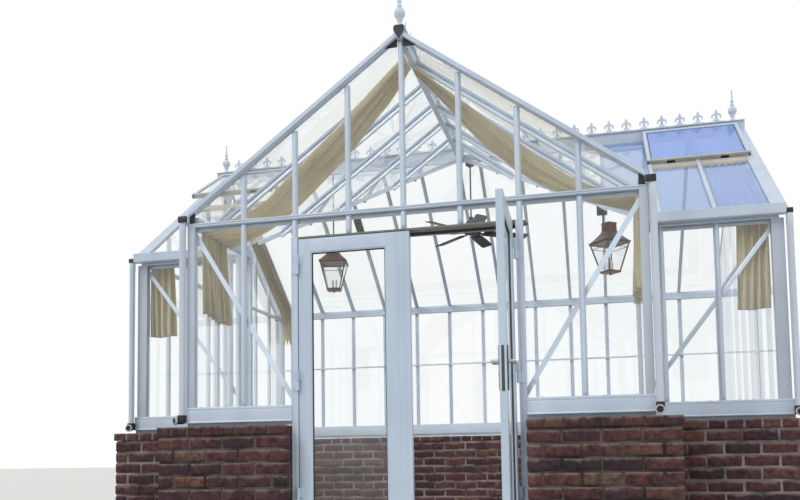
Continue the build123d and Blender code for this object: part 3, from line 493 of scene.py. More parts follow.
walls = {
    "brickLength": 217.0, "pitch": 227.0, "course": 83.0, "joint": 10.0, "depth": 100.0,
    "courseTop": 736.0, "top": 800.0, "headerPitch": 112.0, "headerDepth": 238.0,
    "projection": 10.0, "thickness": 230.0, "outside": 170.0, "jointDepth": 9.0,
    "edgeRadius": 6.0, "wander": 3.8, "shortest": 45.0, "cornerLead": 240.0, "lap": 14.0,
}


def courseSpans(length, first, last):
    # start and end of each brick in one course, the last one cut to what is left
    starts = np.arange(first, last, walls["pitch"])
    ends = np.minimum(starts + walls["brickLength"], last)
    keep = ends - starts > walls["shortest"]
    return starts[keep], ends[keep]


def brickFace(origin, along, outward, length, lead, tail):
    # boxes of one face of a wall in its own directions: lead and tail are what odd and even
    # courses leave for the wall round the corner, so that bricks bond there like the real ones
    boxes = []
    count = int(walls["courseTop"] // walls["course"]) + 1
    half = walls["pitch"] / 2
    for k in range(count):
        z1 = walls["courseTop"] - walls["course"] * k - walls["joint"]
        z0 = max(z1 - walls["course"] + walls["joint"], 0.0)
        first = lead[k % 2]
        last = length - tail[k % 2]
        begin = first - (half if first == 0 and lead[0] == lead[1] and k % 2 else 0)
        s, e = courseSpans(length, begin, last)
        s = np.maximum(s, first)
        keep = e - s > walls["shortest"]
        s, e = s[keep], e[keep]
        boxes.append(np.stack([s, e, np.full_like(s, z0), np.full_like(s, z1)], -1))
    b = np.concatenate(boxes)
    low = np.stack([b[:, 0], np.full(len(b), -walls["depth"]), b[:, 2]], -1)
    high = np.stack([b[:, 1], np.zeros(len(b)), b[:, 3]], -1)
    return placed(low, high, origin, along, outward)


def headerFace(origin, along, outward, length, lead, tail):
    # the top course: bricks on edge across the wall, their ends stepping out
    s = np.arange(lead, length - tail - 40, walls["headerPitch"])
    e = np.minimum(s + walls["headerPitch"] - walls["joint"], length - tail)
    low = np.stack([s, np.full_like(s, walls["projection"] - walls["headerDepth"]),
                    np.full_like(s, walls["courseTop"] + 1.0)], -1)
    high = np.stack([e, np.full_like(s, walls["projection"]),
                     np.full_like(s, walls["top"] - 3.0)], -1)
    return placed(low, high, origin, along, outward)


def placed(low, high, origin, along, outward):
    # corners in (along, outward, up) turned to the frame's own directions
    turn = np.array([(*along, 0), (*outward, 0), (0, 0, 1)], float)
    a, b = low @ turn + (*origin, 0), high @ turn + (*origin, 0)
    return np.minimum(a, b), np.maximum(a, b)


def layBricks(name, node, faces, chance):
    # rounded blocks, each pushed in, turned and worn a little, then waved by sines of its own phase
    lows = np.concatenate([f[0] for f in faces])
    highs = np.concatenate([f[1] for f in faces])
    n = len(lows)
    shrink = chance.uniform(0.0, 1.8, (n, 3)) * (1, 1, 0.6)
    points, quads = roundBlocks(lows + shrink, highs - shrink, walls["edgeRadius"], (6, 4, 4))
    points = points.reshape(n, -1, 3)
    middle = ((lows + highs) / 2)[:, None]
    lean = chance.normal(0, 0.006, (n, 1))
    local = points - middle
    points = points + np.stack([local[..., 2] * lean, local[..., 2] * 0, -local[..., 0] * lean], -1)
    phase = chance.uniform(0, 6.28, (n, 1, 3))
    waves = (np.sin(local[..., [1, 2, 0]] / 13.0 + phase)
             + np.sin(local[..., [2, 0, 1]] / 29.0 + phase * 1.7))
    points = points - np.sign(local) * (waves + 2.0) * 0.25 * walls["wander"]
    tone = np.repeat(np.clip(chance.beta(2.6, 2.8, n), 0, 1), points.shape[1])
    piece = makePiece(name, "brick", [(points.reshape(-1, 3), quads)], [node], sharp=60,
                      tones=tone)
    # the lime weight of a point, with a painted highlight: all of it on a top arris, less at the
    # ends and below
    half = (highs - lows)[:, None] / 2
    near = np.abs(local) > half - walls["edgeRadius"] - 3
    arris = (near.sum(-1) >= 2) * (0.55 + 0.45 * np.sign(local[..., 2]) * near[..., 2])
    piece.data.attributes.new("limeSmearAndHighlight", "FLOAT", "POINT").data.foreach_set(
        "value", arris.astype(np.float32).ravel())
    return piece


def mortarBed(name, node, boxes, look="mortar"):
    # the mortar and the hearting behind the bricks, set back by the depth of a joint
    lows = np.array([b[0] for b in boxes], float)
    highs = np.array([b[1] for b in boxes], float)
    return makePiece(name, look, [roundBlocks(lows, highs, 1.0)], [node])


chance = np.random.default_rng(house["seed"])
# how far a wall stands outside and inside the line of the glass
out, inn = walls["outside"], walls["thickness"] - walls["outside"]
# the lines of the glass: porch sides, house ends, wing fronts and rear
hw, hl, fy, ry = house["halfWidth"], house["halfLength"], house["frontY"], house["rearY"]
jd, half = walls["jointDepth"], walls["pitch"] / 2
porchOut, mainOut, wingFront, backOut = hw + out, hl + out, fy - out, ry + out
door, lap = house["jamb"], walls["lap"]
free, owns, gives = (0.0, 0.0), (0.0, half), (half, 0.0)


def bed(x0, x1, y0, y1, *stepped):
    # one length of wall as two mortar boxes: the body, and the top course on its stepped faces
    body = [np.array([min(x0, x1) + jd, min(y0, y1) + jd, 0.0]),
            np.array([max(x0, x1) - jd, max(y0, y1) - jd, walls["courseTop"]])]
    top = [body[0] * (1, 1, 0) + (0, 0, walls["courseTop"] + 3), body[1] * (1, 1, 0)
           + (0, 0, walls["top"] - 6)]
    for axis, sign in stepped:
        top[(sign + 1) // 2][axis] += sign * walls["projection"]
    return [body, top]


porchLength = porchOut - door
frontBricks, sideBricks, wingBricks, endBricks = [], [], [], []
for side in sides:
    corner = (side * porchOut, -out)
    run = (-side, 0)
    frontBricks += [
        brickFace(corner, run, (0, -1), porchLength, owns, free),
        headerFace(corner, run, (0, -1), porchLength, -walls["projection"], 0),
        brickFace((side * door, inn), (side, 0), (0, 1), porchLength - walls["thickness"], free,
                  free),
    ]
    sideLength = wingFront + out
    sideBricks += [
        brickFace(corner, (0, 1), (side, 0), sideLength, gives, free),
        headerFace(corner, (0, 1), (side, 0), sideLength, walls["cornerLead"], 0),
        brickFace((side * (hw - inn), inn), (0, 1), (-side, 0), wingFront - inn, free, free),
    ]
    wingCorner = (side * mainOut, wingFront)
    wingLength = mainOut - porchOut
    wingBricks += [
        brickFace(wingCorner, run, (0, -1), wingLength, owns, free),
        headerFace(wingCorner, run, (0, -1), wingLength, -walls["projection"], 0),
        brickFace((side * (hw - inn), fy + inn), (side, 0), (0, 1), hl - hw, free, free),
    ]
    endLength = backOut - wingFront
    endBricks += [
        brickFace(wingCorner, (0, 1), (side, 0), endLength, gives, gives),
        headerFace(wingCorner, (0, 1), (side, 0), endLength, walls["cornerLead"],
                   walls["cornerLead"]),
        brickFace((side * (hl - inn), fy + inn), (0, 1), (-side, 0), ry - fy - 2 * inn,
                  free, free),
    ]
rearBricks = [
    brickFace((-mainOut, backOut), (1, 0), (0, 1), 2 * mainOut, owns, owns),
    headerFace((-mainOut, backOut), (1, 0), (0, 1), 2 * mainOut, -walls["projection"],
               -walls["projection"]),
    brickFace((-hl + inn, ry - inn), (1, 0), (0, -1), 2 * (hl - inn), free, free),
]
layBricks("porch_front_bricks", "porch_front_brickwork", frontBricks, chance)
layBricks("porch_side_bricks", "porch_side_brickwork", sideBricks, chance)
layBricks("wing_front_bricks", "wing_front_brickwork", wingBricks, chance)
layBricks("end_bricks", "end_brickwork", endBricks, chance)
layBricks("rear_bricks", "rear_brickwork", rearBricks, chance)
# the porch walls get the darker mortar, which paints the shade in their joints
mortarBed("porch_front_mortar", "porch_front_brickwork", [
    b for s in sides for b in bed(s * door, s * porchOut, -out, inn, (0, s), (1, -1))],
    "shadedMortar")
mortarBed("porch_side_mortar", "porch_side_brickwork", [
    b for s in sides
    for b in bed(s * (hw - inn), s * porchOut, inn - lap, wingFront + lap, (0, s))], "shadedMortar")
mortarBed("wing_front_mortar", "wing_front_brickwork", [
    b for s in sides
    for b in bed(s * (hw - inn), s * mainOut, wingFront, fy + inn, (0, s), (1, -1))])
mortarBed("end_mortar", "end_brickwork", [
    b for s in sides
    for b in bed(s * (hl - inn), s * mainOut, fy + inn - lap, ry - inn + lap, (0, s))])
mortarBed("rear_mortar", "rear_brickwork", bed(
    -mainOut, mainOut, ry - inn, backOut, (0, -1), (0, 1), (1, 1)))
print("brickwork laid")

sill = {
    "front": 40.0, "inside": 20.0, "bottom": 822.0, "top": 927.0, "lip": 8.0,
    "porchEnd": 1494.0, "mainEnd": 2430.0, "sideStart": 20.3, "weepEvery": 182.5, "weepOut": 30.0,
    "porchWeeps": (842.5, 1480), "wingWeeps": (1570, 1603, 1752, 1900, 1960, 2085, 2170),
    "rearWeeps": (-2200, 2201),
}
# outward distance against height: packing strip, drip lip, tall face with a fine groove, nosing
sillFace = rounded(lifted([
    (-20, 0), (-12, 0), (-12, -21.7), (22, -21.7), (22, 0), (48, 0), (48, 7), (42, 11), (40, 14),
    (40, 81), (38.2, 83), (38.2, 85), (40, 87), (40, 100), (36, 105), (-20, 105),
], sill["bottom"]), 1.6)


def sillAlong(start, end, outward):
    return level(sillFace, (*start, 0), (*end, 0), outward)


sideStop = fy - sill["front"] - sill["lip"] - gap
makePiece("porch_sill_channels", "frame", [
    part for s in sides for part in (
        sillAlong((s * door, 0), (s * sill["porchEnd"], 0), (0, -1)),
        sillAlong((s * hw, sill["sideStart"]), (s * hw, sideStop), (s, 0)),
    )
], ["porch_sills"])
makePiece("main_sill_channels", "frame", [
    part for s in sides for part in (
        sillAlong((s * (hw - sill["inside"]), fy), (s * sill["mainEnd"], fy), (0, -1)),
        sillAlong((s * hl, fy + sill["sideStart"]), (s * hl, ry - sill["sideStart"]), (s, 0)),
    )
] + [sillAlong((-sill["mainEnd"], ry), (sill["mainEnd"], ry), (0, 1))], ["main_sills"])
weepOut, weepEvery = sill["weepOut"], sill["weepEvery"]
weepAt = [(s * x, -weepOut) for s in sides for x in np.arange(*sill["porchWeeps"], weepEvery)]
weepAt += [(s * x, fy - weepOut) for s in sides for x in sill["wingWeeps"]]
weepAt += [(x, ry + weepOut) for x in np.arange(*sill["rearWeeps"], 2 * weepEvery)]
makePiece("sill_weep_plugs", "black", [
    repeated(roundBlocks((-6, -2.5, 0), (6, 2.5, 3.0), 1.4),
             [(x, y, sill["top"] - 0.4) for x, y in weepAt]),
])
print("sills set")

bars = {
    "half": 19.0, "bead": 10.0, "tip": 34.0, "noseSteps": 9,
    "porchSideY": (365.0, 730.0), "wingX": (1620.0, 1985.0), "rearSplit": -39.0,
    "underRoof": 32.3, "underRidge": 54.3,
}
# the flat bead against the glass, then a half-round nose whose ends taper like a bullet
beadProfile = rectangle(-bars["half"], bars["half"], 0.6, bars["bead"], 1.5)
noseAngle = np.linspace(0, math.pi, bars["noseSteps"] + 4)
noseProfile = np.stack([
    (bars["half"] - 1.2) * np.cos(noseAngle),
    (house["barFront"] - bars["bead"] + 4) * np.sin(noseAngle) ** 0.8,
], -1)


def glazingBar(x, y, z0, z1, outward=(0, -1), tips=(True, True)):
    # nose width and depth are sqrt(1 - (1 - d / tip)^2), d the distance from the end
    out = np.array([outward[0], outward[1], 0.0])
    side = np.cross(out, (0, 0, 1))
    d = np.linspace(0.0, 1.0, 8) ** 1.6 * bars["tip"]
    size = np.sqrt(np.maximum(1 - (1 - d / bars["tip"]) ** 2, 0.0))
    pointed, plain = (d, size), (d[:1], np.ones(1))
    low, high = [pointed if tip else plain for tip in tips]
    z = np.concatenate([z0 + low[0] + 1.0, (z1 - high[0] - 1.0)[::-1]])
    scale = np.maximum(np.concatenate([low[1], high[1][::-1]]), 0.03)
    base = np.array([x, y, 0.0]) + out * (bars["bead"] - 4)
    path = base + z[:, None] * np.array([0, 0, 1.0])
    return [
        upright(beadProfile, x, y, z0 + gap, z1 - gap, outward),
        sweep(noseProfile, path, side, out, np.stack([scale, scale], -1)),
    ]


low, high, tie, headTop = [house[k] for k in ("sillTop", "tieBottom", "tieTop", "headTop")]
makePiece("porch_glazing_bars", "frame", [
    part for s in sides for part in glazingBar(s * 3 * bay, 0, low, high)
] + [
    part for k in (-1, 0, 1) for part in glazingBar(k * bay, 0, headTop, high)
] + [
    part for s in sides for y in bars["porchSideY"]
    for part in glazingBar(s * hw, y, low, high, (s, 0))
], ["porch_wall_bars"])
rearX = [hl - bay * k for k in range(1, 7)] + [bars["rearSplit"] - bay * k for k in range(7)]
endY = [ridgeY + bay * k for k in range(-3, 4)]
makePiece("main_glazing_bars", "frame", [
    part for s in sides for x in bars["wingX"] for part in glazingBar(s * x, fy, low, high)
] + [
    part for s in sides for y in endY for part in glazingBar(s * hl, y, low, high, (s, 0))
] + [
    part for x in rearX for part in glazingBar(x, ry, low, high, (0, 1))
], ["main_wall_bars"])


def gableTopX(x):
    return min(porchHeight(abs(x) + bars["half"]) - bars["underRoof"],
               house["porchApex"] - bars["underRidge"])


def gableTopY(y):
    reach = abs(y - ridgeY) + bars["half"]
    return min(mainHeight(ridgeY + reach) - bars["underRoof"],
               house["mainApex"] - bars["underRidge"])


makePiece("gable_glazing_bars", "frame", [
    part for k in range(-3, 4) for part in glazingBar(
        k * bay, 0, tie, gableTopX(k * bay), tips=(False, True))
] + [
    part for s in sides for y in endY
    for part in glazingBar(s * hl, y, tie, gableTopY(y), (s, 0), (False, True))
], ["gable_bars"])
print("glazing bars set")

posts = {"size": 52.0, "mainOutside": 64.0, "nook": 20.0, "edgeRadius": 5.0}
front, inside = house["barFront"], house["inside"]


def cornerPost(x0, x1, y0, y1):
    # grown from a rounded rectangle in plan
    return sweep(rectangle(min(x0, x1), max(x0, x1), y0, y1, posts["edgeRadius"], 3),
                 [(0, 0, low + gap), (0, 0, high - gap)], (1, 0, 0), (0, 1, 0))


postInner, mainPostInner, nook = hw + front - posts["size"], hl - inside, posts["nook"]
# the posts wear the greyer coat with the painted shade
makePiece("corner_post_tubes", "post", [
    cornerPost(s * postInner, s * (postInner + posts["size"]), -front, inside) for s in sides
] + [
    cornerPost(s * mainPostInner, s * (hl + posts["mainOutside"]), y0, y1)
    for s in sides for y0, y1 in ((fy - front, fy + inside), (ry - inside, ry + front))
] + [
    cornerPost(s * (hw - nook), s * (hw + inside), fy - nook, fy + inside) for s in sides
], ["corner_posts"])
print("posts set")

rails = {"porchEnd": 1494.0, "mainEnd": 2384.0, "innerFront": -4.5, "innerBack": -17.5,
         "innerHeight": 26.0, "eaveDrop": 22.3, "eaveEnd": 8.3}
# outward distance against height: two fine ridges with a groove between them
tieFace = rounded(lifted([
    (-18, 0), (31, 0), (34, 2), (34, 9), (27, 10.5), (27, 14.5), (34, 16), (34, 23), (31, 25),
    (-18, 25)], high), 1.2)
innerRail = rectangle(rails["innerBack"], rails["innerFront"], high - rails["innerHeight"], high)
porchEaveTop = porchHeight(hw + inside) - rails["eaveDrop"]
mainEaveTop = mainHeight(fy - inside) - rails["eaveDrop"]
eaveSection = rectangle(-inside, inside, tie, mainEaveTop)
makePiece("porch_ties", "frame", [
    level(tieFace, (-rails["porchEnd"], 0, 0), (rails["porchEnd"], 0, 0), (0, -1)),
    level(innerRail, (-postInner + gap, 0, 0), (postInner - gap, 0, 0), (0, -1)),
] + [
    level(rectangle(postInner - hw, inside, high, porchEaveTop), (s * hw, inside + gap, 0),
          (s * hw, fy - front - gap, 0), (s, 0)) for s in sides
], ["porch_eave_rails"])
eaveEnd = hl - rails["eaveEnd"]
makePiece("main_ties", "frame", [
    part for s in sides for part in (
        level(tieFace, (s * postInner, fy, 0), (s * rails["mainEnd"], fy, 0), (0, -1)),
        level(eaveSection, (s * postInner, fy, 0), (s * eaveEnd, fy, 0), (0, -1)),
        level(innerRail, (s * (hw + inside + gap), fy, 0), (s * (mainPostInner - gap), fy, 0),
              (0, -1)),
        level(tieFace, (s * hl, fy + inside + gap, 0), (s * hl, ry - inside - gap, 0), (s, 0)),
    )
] + [
    level(tieFace, (-rails["mainEnd"], ry, 0), (rails["mainEnd"], ry, 0), (0, 1)),
    level(eaveSection, (-eaveEnd, ry, 0), (eaveEnd, ry, 0), (0, 1)),
], ["main_eave_rails"])

gutters = {
    "wall": 3.0, "back": 1478.3, "width": 62.0, "porchLow": 2172.3, "porchHigh": 2214.3,
    "low": 2162.0, "high": 2232.0, "front": 70.0, "end": 2418.0, "fascia": 39.3,
    "capDepth": 15.0, "capWidth": 44.0, "capHalf": 24.0, "capHeight": 34.0,
}


def channel(z0, z1):
    # an open channel: tall face with a rolled lip, rounded foot, thin walls
    w, t = gutters["width"], gutters["wall"]
    return rounded([
        (0, z0), (w - 9, z0), (w - 2.5, z0 + 5), (w - 1.5, z1 - 12), (w, z1 - 10), (w, z1),
        (w - 8, z1), (w - 8, z1 - 4), (w - t - 1.5, z1 - 5), (w - t - 3, z0 + 7),
        (w - 10, z0 + t), (t, z0 + t), (t, z1 - 1), (0, z1 - 1)], 1.4)


porchChannel = channel(gutters["porchLow"], gutters["porchHigh"])
mainChannel = channel(gutters["low"], gutters["high"])
fasciaY, rearFascia = fy - gutters["fascia"], ry + gutters["fascia"]
makePiece("gutter_channels", "frame", [
    level(porchChannel, (s * gutters["back"], -gutters["front"], 0),
          (s * gutters["back"], fasciaY - gutters["width"] - gap, 0), (s, 0)) for s in sides
] + [
    level(mainChannel, (s * gutters["back"], fasciaY, 0), (s * gutters["end"], fasciaY, 0), (0, -1))
    for s in sides
] + [
    level(mainChannel, (-gutters["end"], rearFascia, 0), (gutters["end"], rearFascia, 0), (0, 1)),
], ["gutters"])

verge = {"start": 20.3, "width": 68.0, "depth": 32.0, "front": 60.0, "endMiddle": 2391.0,
         "endWidth": 98.0}


def vergeSection(width, depth):
    # a flat board with a raised bead along both edges and a groove in its faces
    w = width / 2
    return mirrored([
        (w, -depth), (w, -depth * 0.62), (w - 2, -depth * 0.58), (w - 2, -depth * 0.46),
        (w, -depth * 0.42), (w, 0), (w - 7, 0), (w - 9, -2.5)], 1.0)


vergeY = verge["width"] / 2 - verge["front"]
start, stop = verge["start"], hw + inside
porchVerge = vergeSection(verge["width"], verge["depth"])
endVerge = vergeSection(verge["endWidth"], verge["depth"])
topZ, footZ = mainHeight(ridgeY + start), mainHeight(ridgeY + house["mainRun"])
makePiece("verge_boards", "frame", [
    sloping(porchVerge, (s * start, vergeY, porchHeight(start)),
            (s * stop, vergeY, porchHeight(stop))) for s in sides
] + [
    sloping(endVerge, (e * verge["endMiddle"], ridgeY + s * start, topZ),
            (e * verge["endMiddle"], ridgeY + s * house["mainRun"], footZ))
    for e in sides for s in sides
], ["verge_bars"])

roofBars = {"underside": 17.3, "valleyGap": 20.4, "rearWall": 20.3, "ventFoot": 1750.5,
            "transomDepth": 62.0, "transomRise": 8.0}
# a mushroom cap over the glass, a web and a flange under it
roofSection = mirrored([
    (15, -17.3), (15, -13), (7, -12), (7, 0), (15, 0), (15, 3), (10, 7.5)], 1.2)
# the stem of each roof bar under the glass, a web on a grooved foot
stemSection = mirrored([(5, -54), (6, -58.3), (10, -58.3), (10, -44), (5, -41), (5, -22.9)], 1.0)


def valleyX(y):
    return (house["porchApex"] - mainHeight(y)) / porchSlope


def valleyY(x):
    return ridgeY - (house["mainApex"] - porchHeight(x)) / mainSlope


def roofBarX(side, y, stopAt):
    stemAt = min(stopAt, postInner - gap)
    return joined([
        sloping(section, (side * start, y, porchHeight(start)), (side * x, y, porchHeight(x)))
        for section, x in ((roofSection, stopAt), (stemSection, stemAt))])


def roofBarY(x, side, run):
    y0, y1 = ridgeY + side * start, ridgeY + side * run
    y2 = ridgeY + side * min(run, ry - ridgeY - roofBars["rearWall"])
    return joined([
        sloping(section, (x, y0, mainHeight(y0)), (x, y, mainHeight(y)))
        for section, y in ((roofSection, y1), (stemSection, y2))])


valleyGap, fullRun = roofBars["valleyGap"], house["mainRun"] - gap
makePiece("porch_rafters", "frame", [
    roofBarX(s, y, stop) for s in sides for y in bars["porchSideY"]
] + [
    roofBarX(s, bay * k, valleyX(bay * k) - valleyGap) for s in sides for k in (3, 4, 5)
], ["porch_roof_bars"])
ventFoot = roofBars["ventFoot"]


def transom(x0, x1):
    # a sloping cross bar under the lower edge of a vent, a parallelogram along X
    y0 = ventFoot - roofBars["transomDepth"]
    rise, drop = roofBars["transomRise"], roofBars["underside"]
    profile = rounded([
        (ventFoot, mainHeight(ventFoot) + rise), (y0, mainHeight(y0) + rise),
        (y0, mainHeight(y0) - drop), (ventFoot, mainHeight(ventFoot) - drop)], 2.0)
    return sweep(profile, [(x0, 0, 0), (x1, 0, 0)], (0, 1, 0), (0, 0, 1))


makePiece("main_rafters", "frame", [
    roofBarY(s * x, -1, fullRun) for s in sides for x in bars["wingX"]
] + [
    roofBarY(s * bay * k, -1, ridgeY - valleyY(bay * k) - valleyGap)
    for s in sides for k in (1, 2, 3)
] + [
    roofBarY(x, 1, fullRun) for x in rearX
], ["main_roof_bars"])
# the transoms wear the beige-grey coat with the painted shade
makePiece("vent_transoms", "ventRail", [
    transom(*sorted((s * a, s * b)))
    for s in sides for a, b in ((1635.3, 1969.7), (2000.3, 2341.7))
], ["main_roof_bars"])

ridge = {"half": 20.0, "below": 54.0, "capHalf": 36.0, "cap": 12.0, "end": 2440.0,
         "mainTop": 3406.0, "porchTop": 3344.0, "porchEnd": 2349.7, "porchStart": -60.0}


def ridgeSection(apex, top):
    # a web under a cap with drip edges and a small upstand for the cresting
    web, cap, under = ridge["half"], ridge["capHalf"], top - ridge["cap"]
    return mirrored([
        (web, apex - ridge["below"]), (web, under), (cap - 3, under), (cap, top - 9),
        (cap, top - 5), (cap - 6, top - 2), (6, top - 1), (4, top)], 1.2)


makePiece("ridge_caps", "frame", [
    level(ridgeSection(house["mainApex"], ridge["mainTop"]), (-ridge["end"], ridgeY, 0),
          (ridge["end"], ridgeY, 0), (0, 1)),
    level(ridgeSection(house["porchApex"], ridge["porchTop"]), (0, ridge["porchStart"], 0),
          (0, ridge["porchEnd"], 0), (1, 0)),
], ["ridge_beams"])
softened("valley_bars", "frame")
print("roof frame set")

fleur = {"every": 149.5, "height": 122.0, "thick": 6.0, "first": 125.0, "count": 15, "rail": 8.0,
         "railEnd": 2300.0, "porchFirst": 130.0, "porchLast": 2240.0, "porchRailStart": 50.0}


def petal(path, width, thick):
    # a flattened tube along a path in the XZ plane, ellipse in section, width changing on the way
    path = np.array(path, float)
    t = np.linspace(0, 1, 13)
    along = np.linspace(0, 1, len(path))
    curve = np.stack([np.interp(t, along, path[:, 0]), t * 0, np.interp(t, along, path[:, 1])], -1)
    curve[1:-1] = (curve[:-2] + 2 * curve[1:-1] + curve[2:]) / 4
    size = np.interp(t, np.linspace(0, 1, len(width)), width)
    run = np.gradient(curve, axis=0)
    run /= np.linalg.norm(run, axis=1, keepdims=True)
    side = np.cross(run, (0, 1, 0))
    a = np.linspace(0, 2 * math.pi, 9)[:-1]
    ring = np.stack([np.cos(a), np.sin(a) * thick / 2], -1)
    scale = np.stack([np.maximum(size, 0.3), np.clip(size / 4.0, 0.1, 1.0)], -1)
    return sweep(ring, curve, side, (0, 1, 0), scale)


def fleurParts():
    # one casting: a leaf-shaped spear, two leaves drooping from its neck, two small scrolls and a
    # collar
    spear = petal([(0, 8), (0, 40), (0, 70), (0, 95), (0, fleur["height"])],
                  [5.5, 4.0, 6.0, 13.5, 15.0, 9.0, 0.8], fleur["thick"])
    parts = [spear]
    for s in sides:
        parts.append(petal(
            [(s * 2, 50), (s * 11, 70), (s * 22, 76), (s * 33, 66), (s * 36, 50), (s * 30, 40)],
            [3.5, 6.5, 8.5, 8.5, 6.5, 5.0], fleur["thick"]))
        parts.append(petal(
            [(s * 3, 40), (s * 11, 34), (s * 19, 24), (s * 16, 14), (s * 6, 12)],
            [4.0, 4.5, 4.5, 4.0, 3.5], fleur["thick"]))
    parts.append(roundBlocks((-12, -4, 40), (12, 4, 50), 2.5))
    return parts


fleurMesh = joined(fleurParts())
scallop = petal([(-76, 9), (-55, 9), (-28, 15), (0, 23), (28, 15), (55, 9), (76, 9)],
                [3.5, 3.5, 4.5, 3.5, 3.5], 5.0)
turnedFleur = turned(fleurMesh, 90, (0, 0))
turnedScallop = turned(scallop, 90, (0, 0))
fleurSteps = fleur["every"] * np.arange(fleur["count"])
mainCrest = np.array([(s * (fleur["first"] + d), ridgeY, ridge["mainTop"])
                      for s in sides for d in fleurSteps])
porchCrest = np.array([(0, y, ridge["porchTop"])
                       for y in fleur["porchFirst"] + fleurSteps if y < fleur["porchLast"]])
makePiece("ridge_fleurs", "frame", [
    repeated(fleurMesh, mainCrest), repeated(scallop, mainCrest),
    repeated(turnedFleur, porchCrest), repeated(turnedScallop, porchCrest),
    roundBlocks((-fleur["railEnd"], ridgeY - 3, ridge["mainTop"]),
                (fleur["railEnd"], ridgeY + 3, ridge["mainTop"] + fleur["rail"]), 1.5),
    roundBlocks((-3, fleur["porchRailStart"], ridge["porchTop"]),
                (3, fleur["railEnd"], ridge["porchTop"] + fleur["rail"]), 1.5),
], ["ridge_cresting"], sharp=50)

# radius against height above the finial's foot
spire = np.array([
    (0, 0), (24, 0), (24, 5), (22, 8), (22, 14), (15, 18), (13, 24), (13, 34), (18, 39), (20, 44),
    (18, 48), (22, 56), (30, 66), (35, 78), (36, 90), (34, 102), (28, 113), (19, 122), (13, 130),
    (16, 134), (17, 138), (14, 142), (10, 150), (10, 160), (14, 166), (14.5, 172), (12, 177),
    (9, 184), (8, 196), (6.5, 215), (5, 235), (4.5, 250), (6, 256), (6.5, 262), (5, 268),
    (2.5, 274), (0, 278)])
makePiece("ridge_finials", "frame", [
    lathe(spire, (s * hl, ridgeY, ridge["mainTop"]), 28) for s in sides
] + [lathe(spire, (0, -30, ridge["porchTop"]), 28)], ["finials"], sharp=50)
print("cresting cast")

doors = {
    "bottom": 30.0, "top": 2005.0, "outer": 701.0, "meeting": 40.0, "gap": 8.0, "front": -35.0,
    "back": 5.0, "stile": 88.0, "lock": {-1: 162.0, 1: 92.0}, "topRail": 95.0, "bottomRail": 190.0,
    "axisX": 707.0, "axisY": -49.0, "radius": 12.0, "levels": (330.0, 1080.0, 1838.0),
    "openAngle": 91.5, "bead": 9.0,
}


def member(width, grooves=()):
    # across a door member from its outer edge to the glass, against depth: flat faces with fine
    # grooves, soft arrises and a sloping bead that holds the glass on both faces
    f, b, w, d = doors["front"], doors["back"], width, doors["bead"]
    face = [(0, f)]
    for g in grooves:
        face += [(g - 1.5, f), (g - 0.8, f + 1.4), (g + 0.8, f + 1.4), (g + 1.5, f)]
    face += [(w - d, f), (w, f + 7), (w, b - 7), (w - d, b), (0, b)]
    return rounded(face, 1.4)


def leafParts(side, meeting, lockGrooves):
    # two full-height stiles, two rails between them
    hinge, lock = side * doors["outer"], meeting
    z0, z1 = doors["bottom"], doors["top"]
    inward = -side
    parts = [
        sweep(member(doors["stile"]), [(hinge, 0, z0), (hinge, 0, z1)], (inward, 0, 0), (0, 1, 0)),
        sweep(member(doors["lock"][side], lockGrooves), [(lock, 0, z0), (lock, 0, z1)],
              (side, 0, 0), (0, 1, 0)),
    ]
    inset = doors["bead"] + 0.4
    x0 = hinge + inward * (doors["stile"] - inset)
    x1 = lock + side * (doors["lock"][side] - inset)
    for width, z, up in ((doors["topRail"], z1, -1), (doors["bottomRail"], z0, 1)):
        parts.append(sweep(member(width), [(x0, 0, z), (x1, 0, z)], (0, 0, up), (0, 1, 0)))
    return parts


def gasketAndShadowParts(side, meeting):
    # a thin black line all round the pane, on both faces: a rubber gasket that also paints the
    # shadow in the pane's recess
    a = side * (doors["outer"] - doors["stile"])
    b = meeting + side * doors["lock"][side]
    x0, x1 = min(a, b), max(a, b)
    z0, z1 = doors["bottom"] + doors["bottomRail"], doors["top"] - doors["topRail"]
    parts = []
    for y0, y1 in ((-23.5, -18.2), (-11.8, -6.5)):
        parts.append(roundBlocks(
            [(x0, y0, z0), (x1 - 5, y0, z0), (x0, y0, z0), (x0, y0, z1 - 5)],
            [(x0 + 5, y1, z1), (x1, y1, z1), (x1, y1, z0 + 5), (x1, y1, z1)], 1.2))
    return parts


def hingeHalf(side, lowZ, highZ, toLeaf):
    # a knuckle with domed ends, and a rounded plate that wraps it, with three countersunk screws
    x, y, r = side * doors["axisX"], doors["axisY"], doors["radius"]
    parts = [lathe([(0, lowZ), (r - 3, lowZ), (r, lowZ + 2), (r, highZ - 2), (r - 3, highZ),
                    (0, highZ)], (x, y, 0), 20)]
    if toLeaf:
        a, b, plateFront, plateBack, away = x - side * 34, x - side * 2, -38.0, -35.2, -side
    else:
        a, b, plateFront, plateBack, away = x + side * 2, x + side * 45, -38.0, -34.2, side
    parts.append(roundBlocks((min(a, b), plateFront, lowZ), (max(a, b), plateBack, highZ), 1.5))
    x0, x1 = sorted((x - side * 2, x + away * r))
    parts.append(roundBlocks((x0, y, lowZ + 0.5), (x1, plateBack, highZ - 0.5), 1.5))
    middle = (lowZ + highZ) / 2
    for z in (middle - 20, middle, middle + 20):
        parts.append(lathe([(0, 0.4), (4.5, 0.4), (5.2, 0.0), (5.2, -0.3), (0, -0.3)],
                           (a * 0.55 + b * 0.45, plateFront, z), 12, (0, -1, 0)))
    return parts


def leafHinges(side):
    return [part for z in doors["levels"] for part in hingeHalf(side, z + 0.6, z + 65, True)]


levers = {"fromEdge": 45.0, "height": 1083.0, "plateHalf": 18.0, "plateLow": 926.0,
          "plateHigh": 1168.0, "reach": 41.0, "length": 112.0, "returned": 22.0, "keyDrop": 72.0}


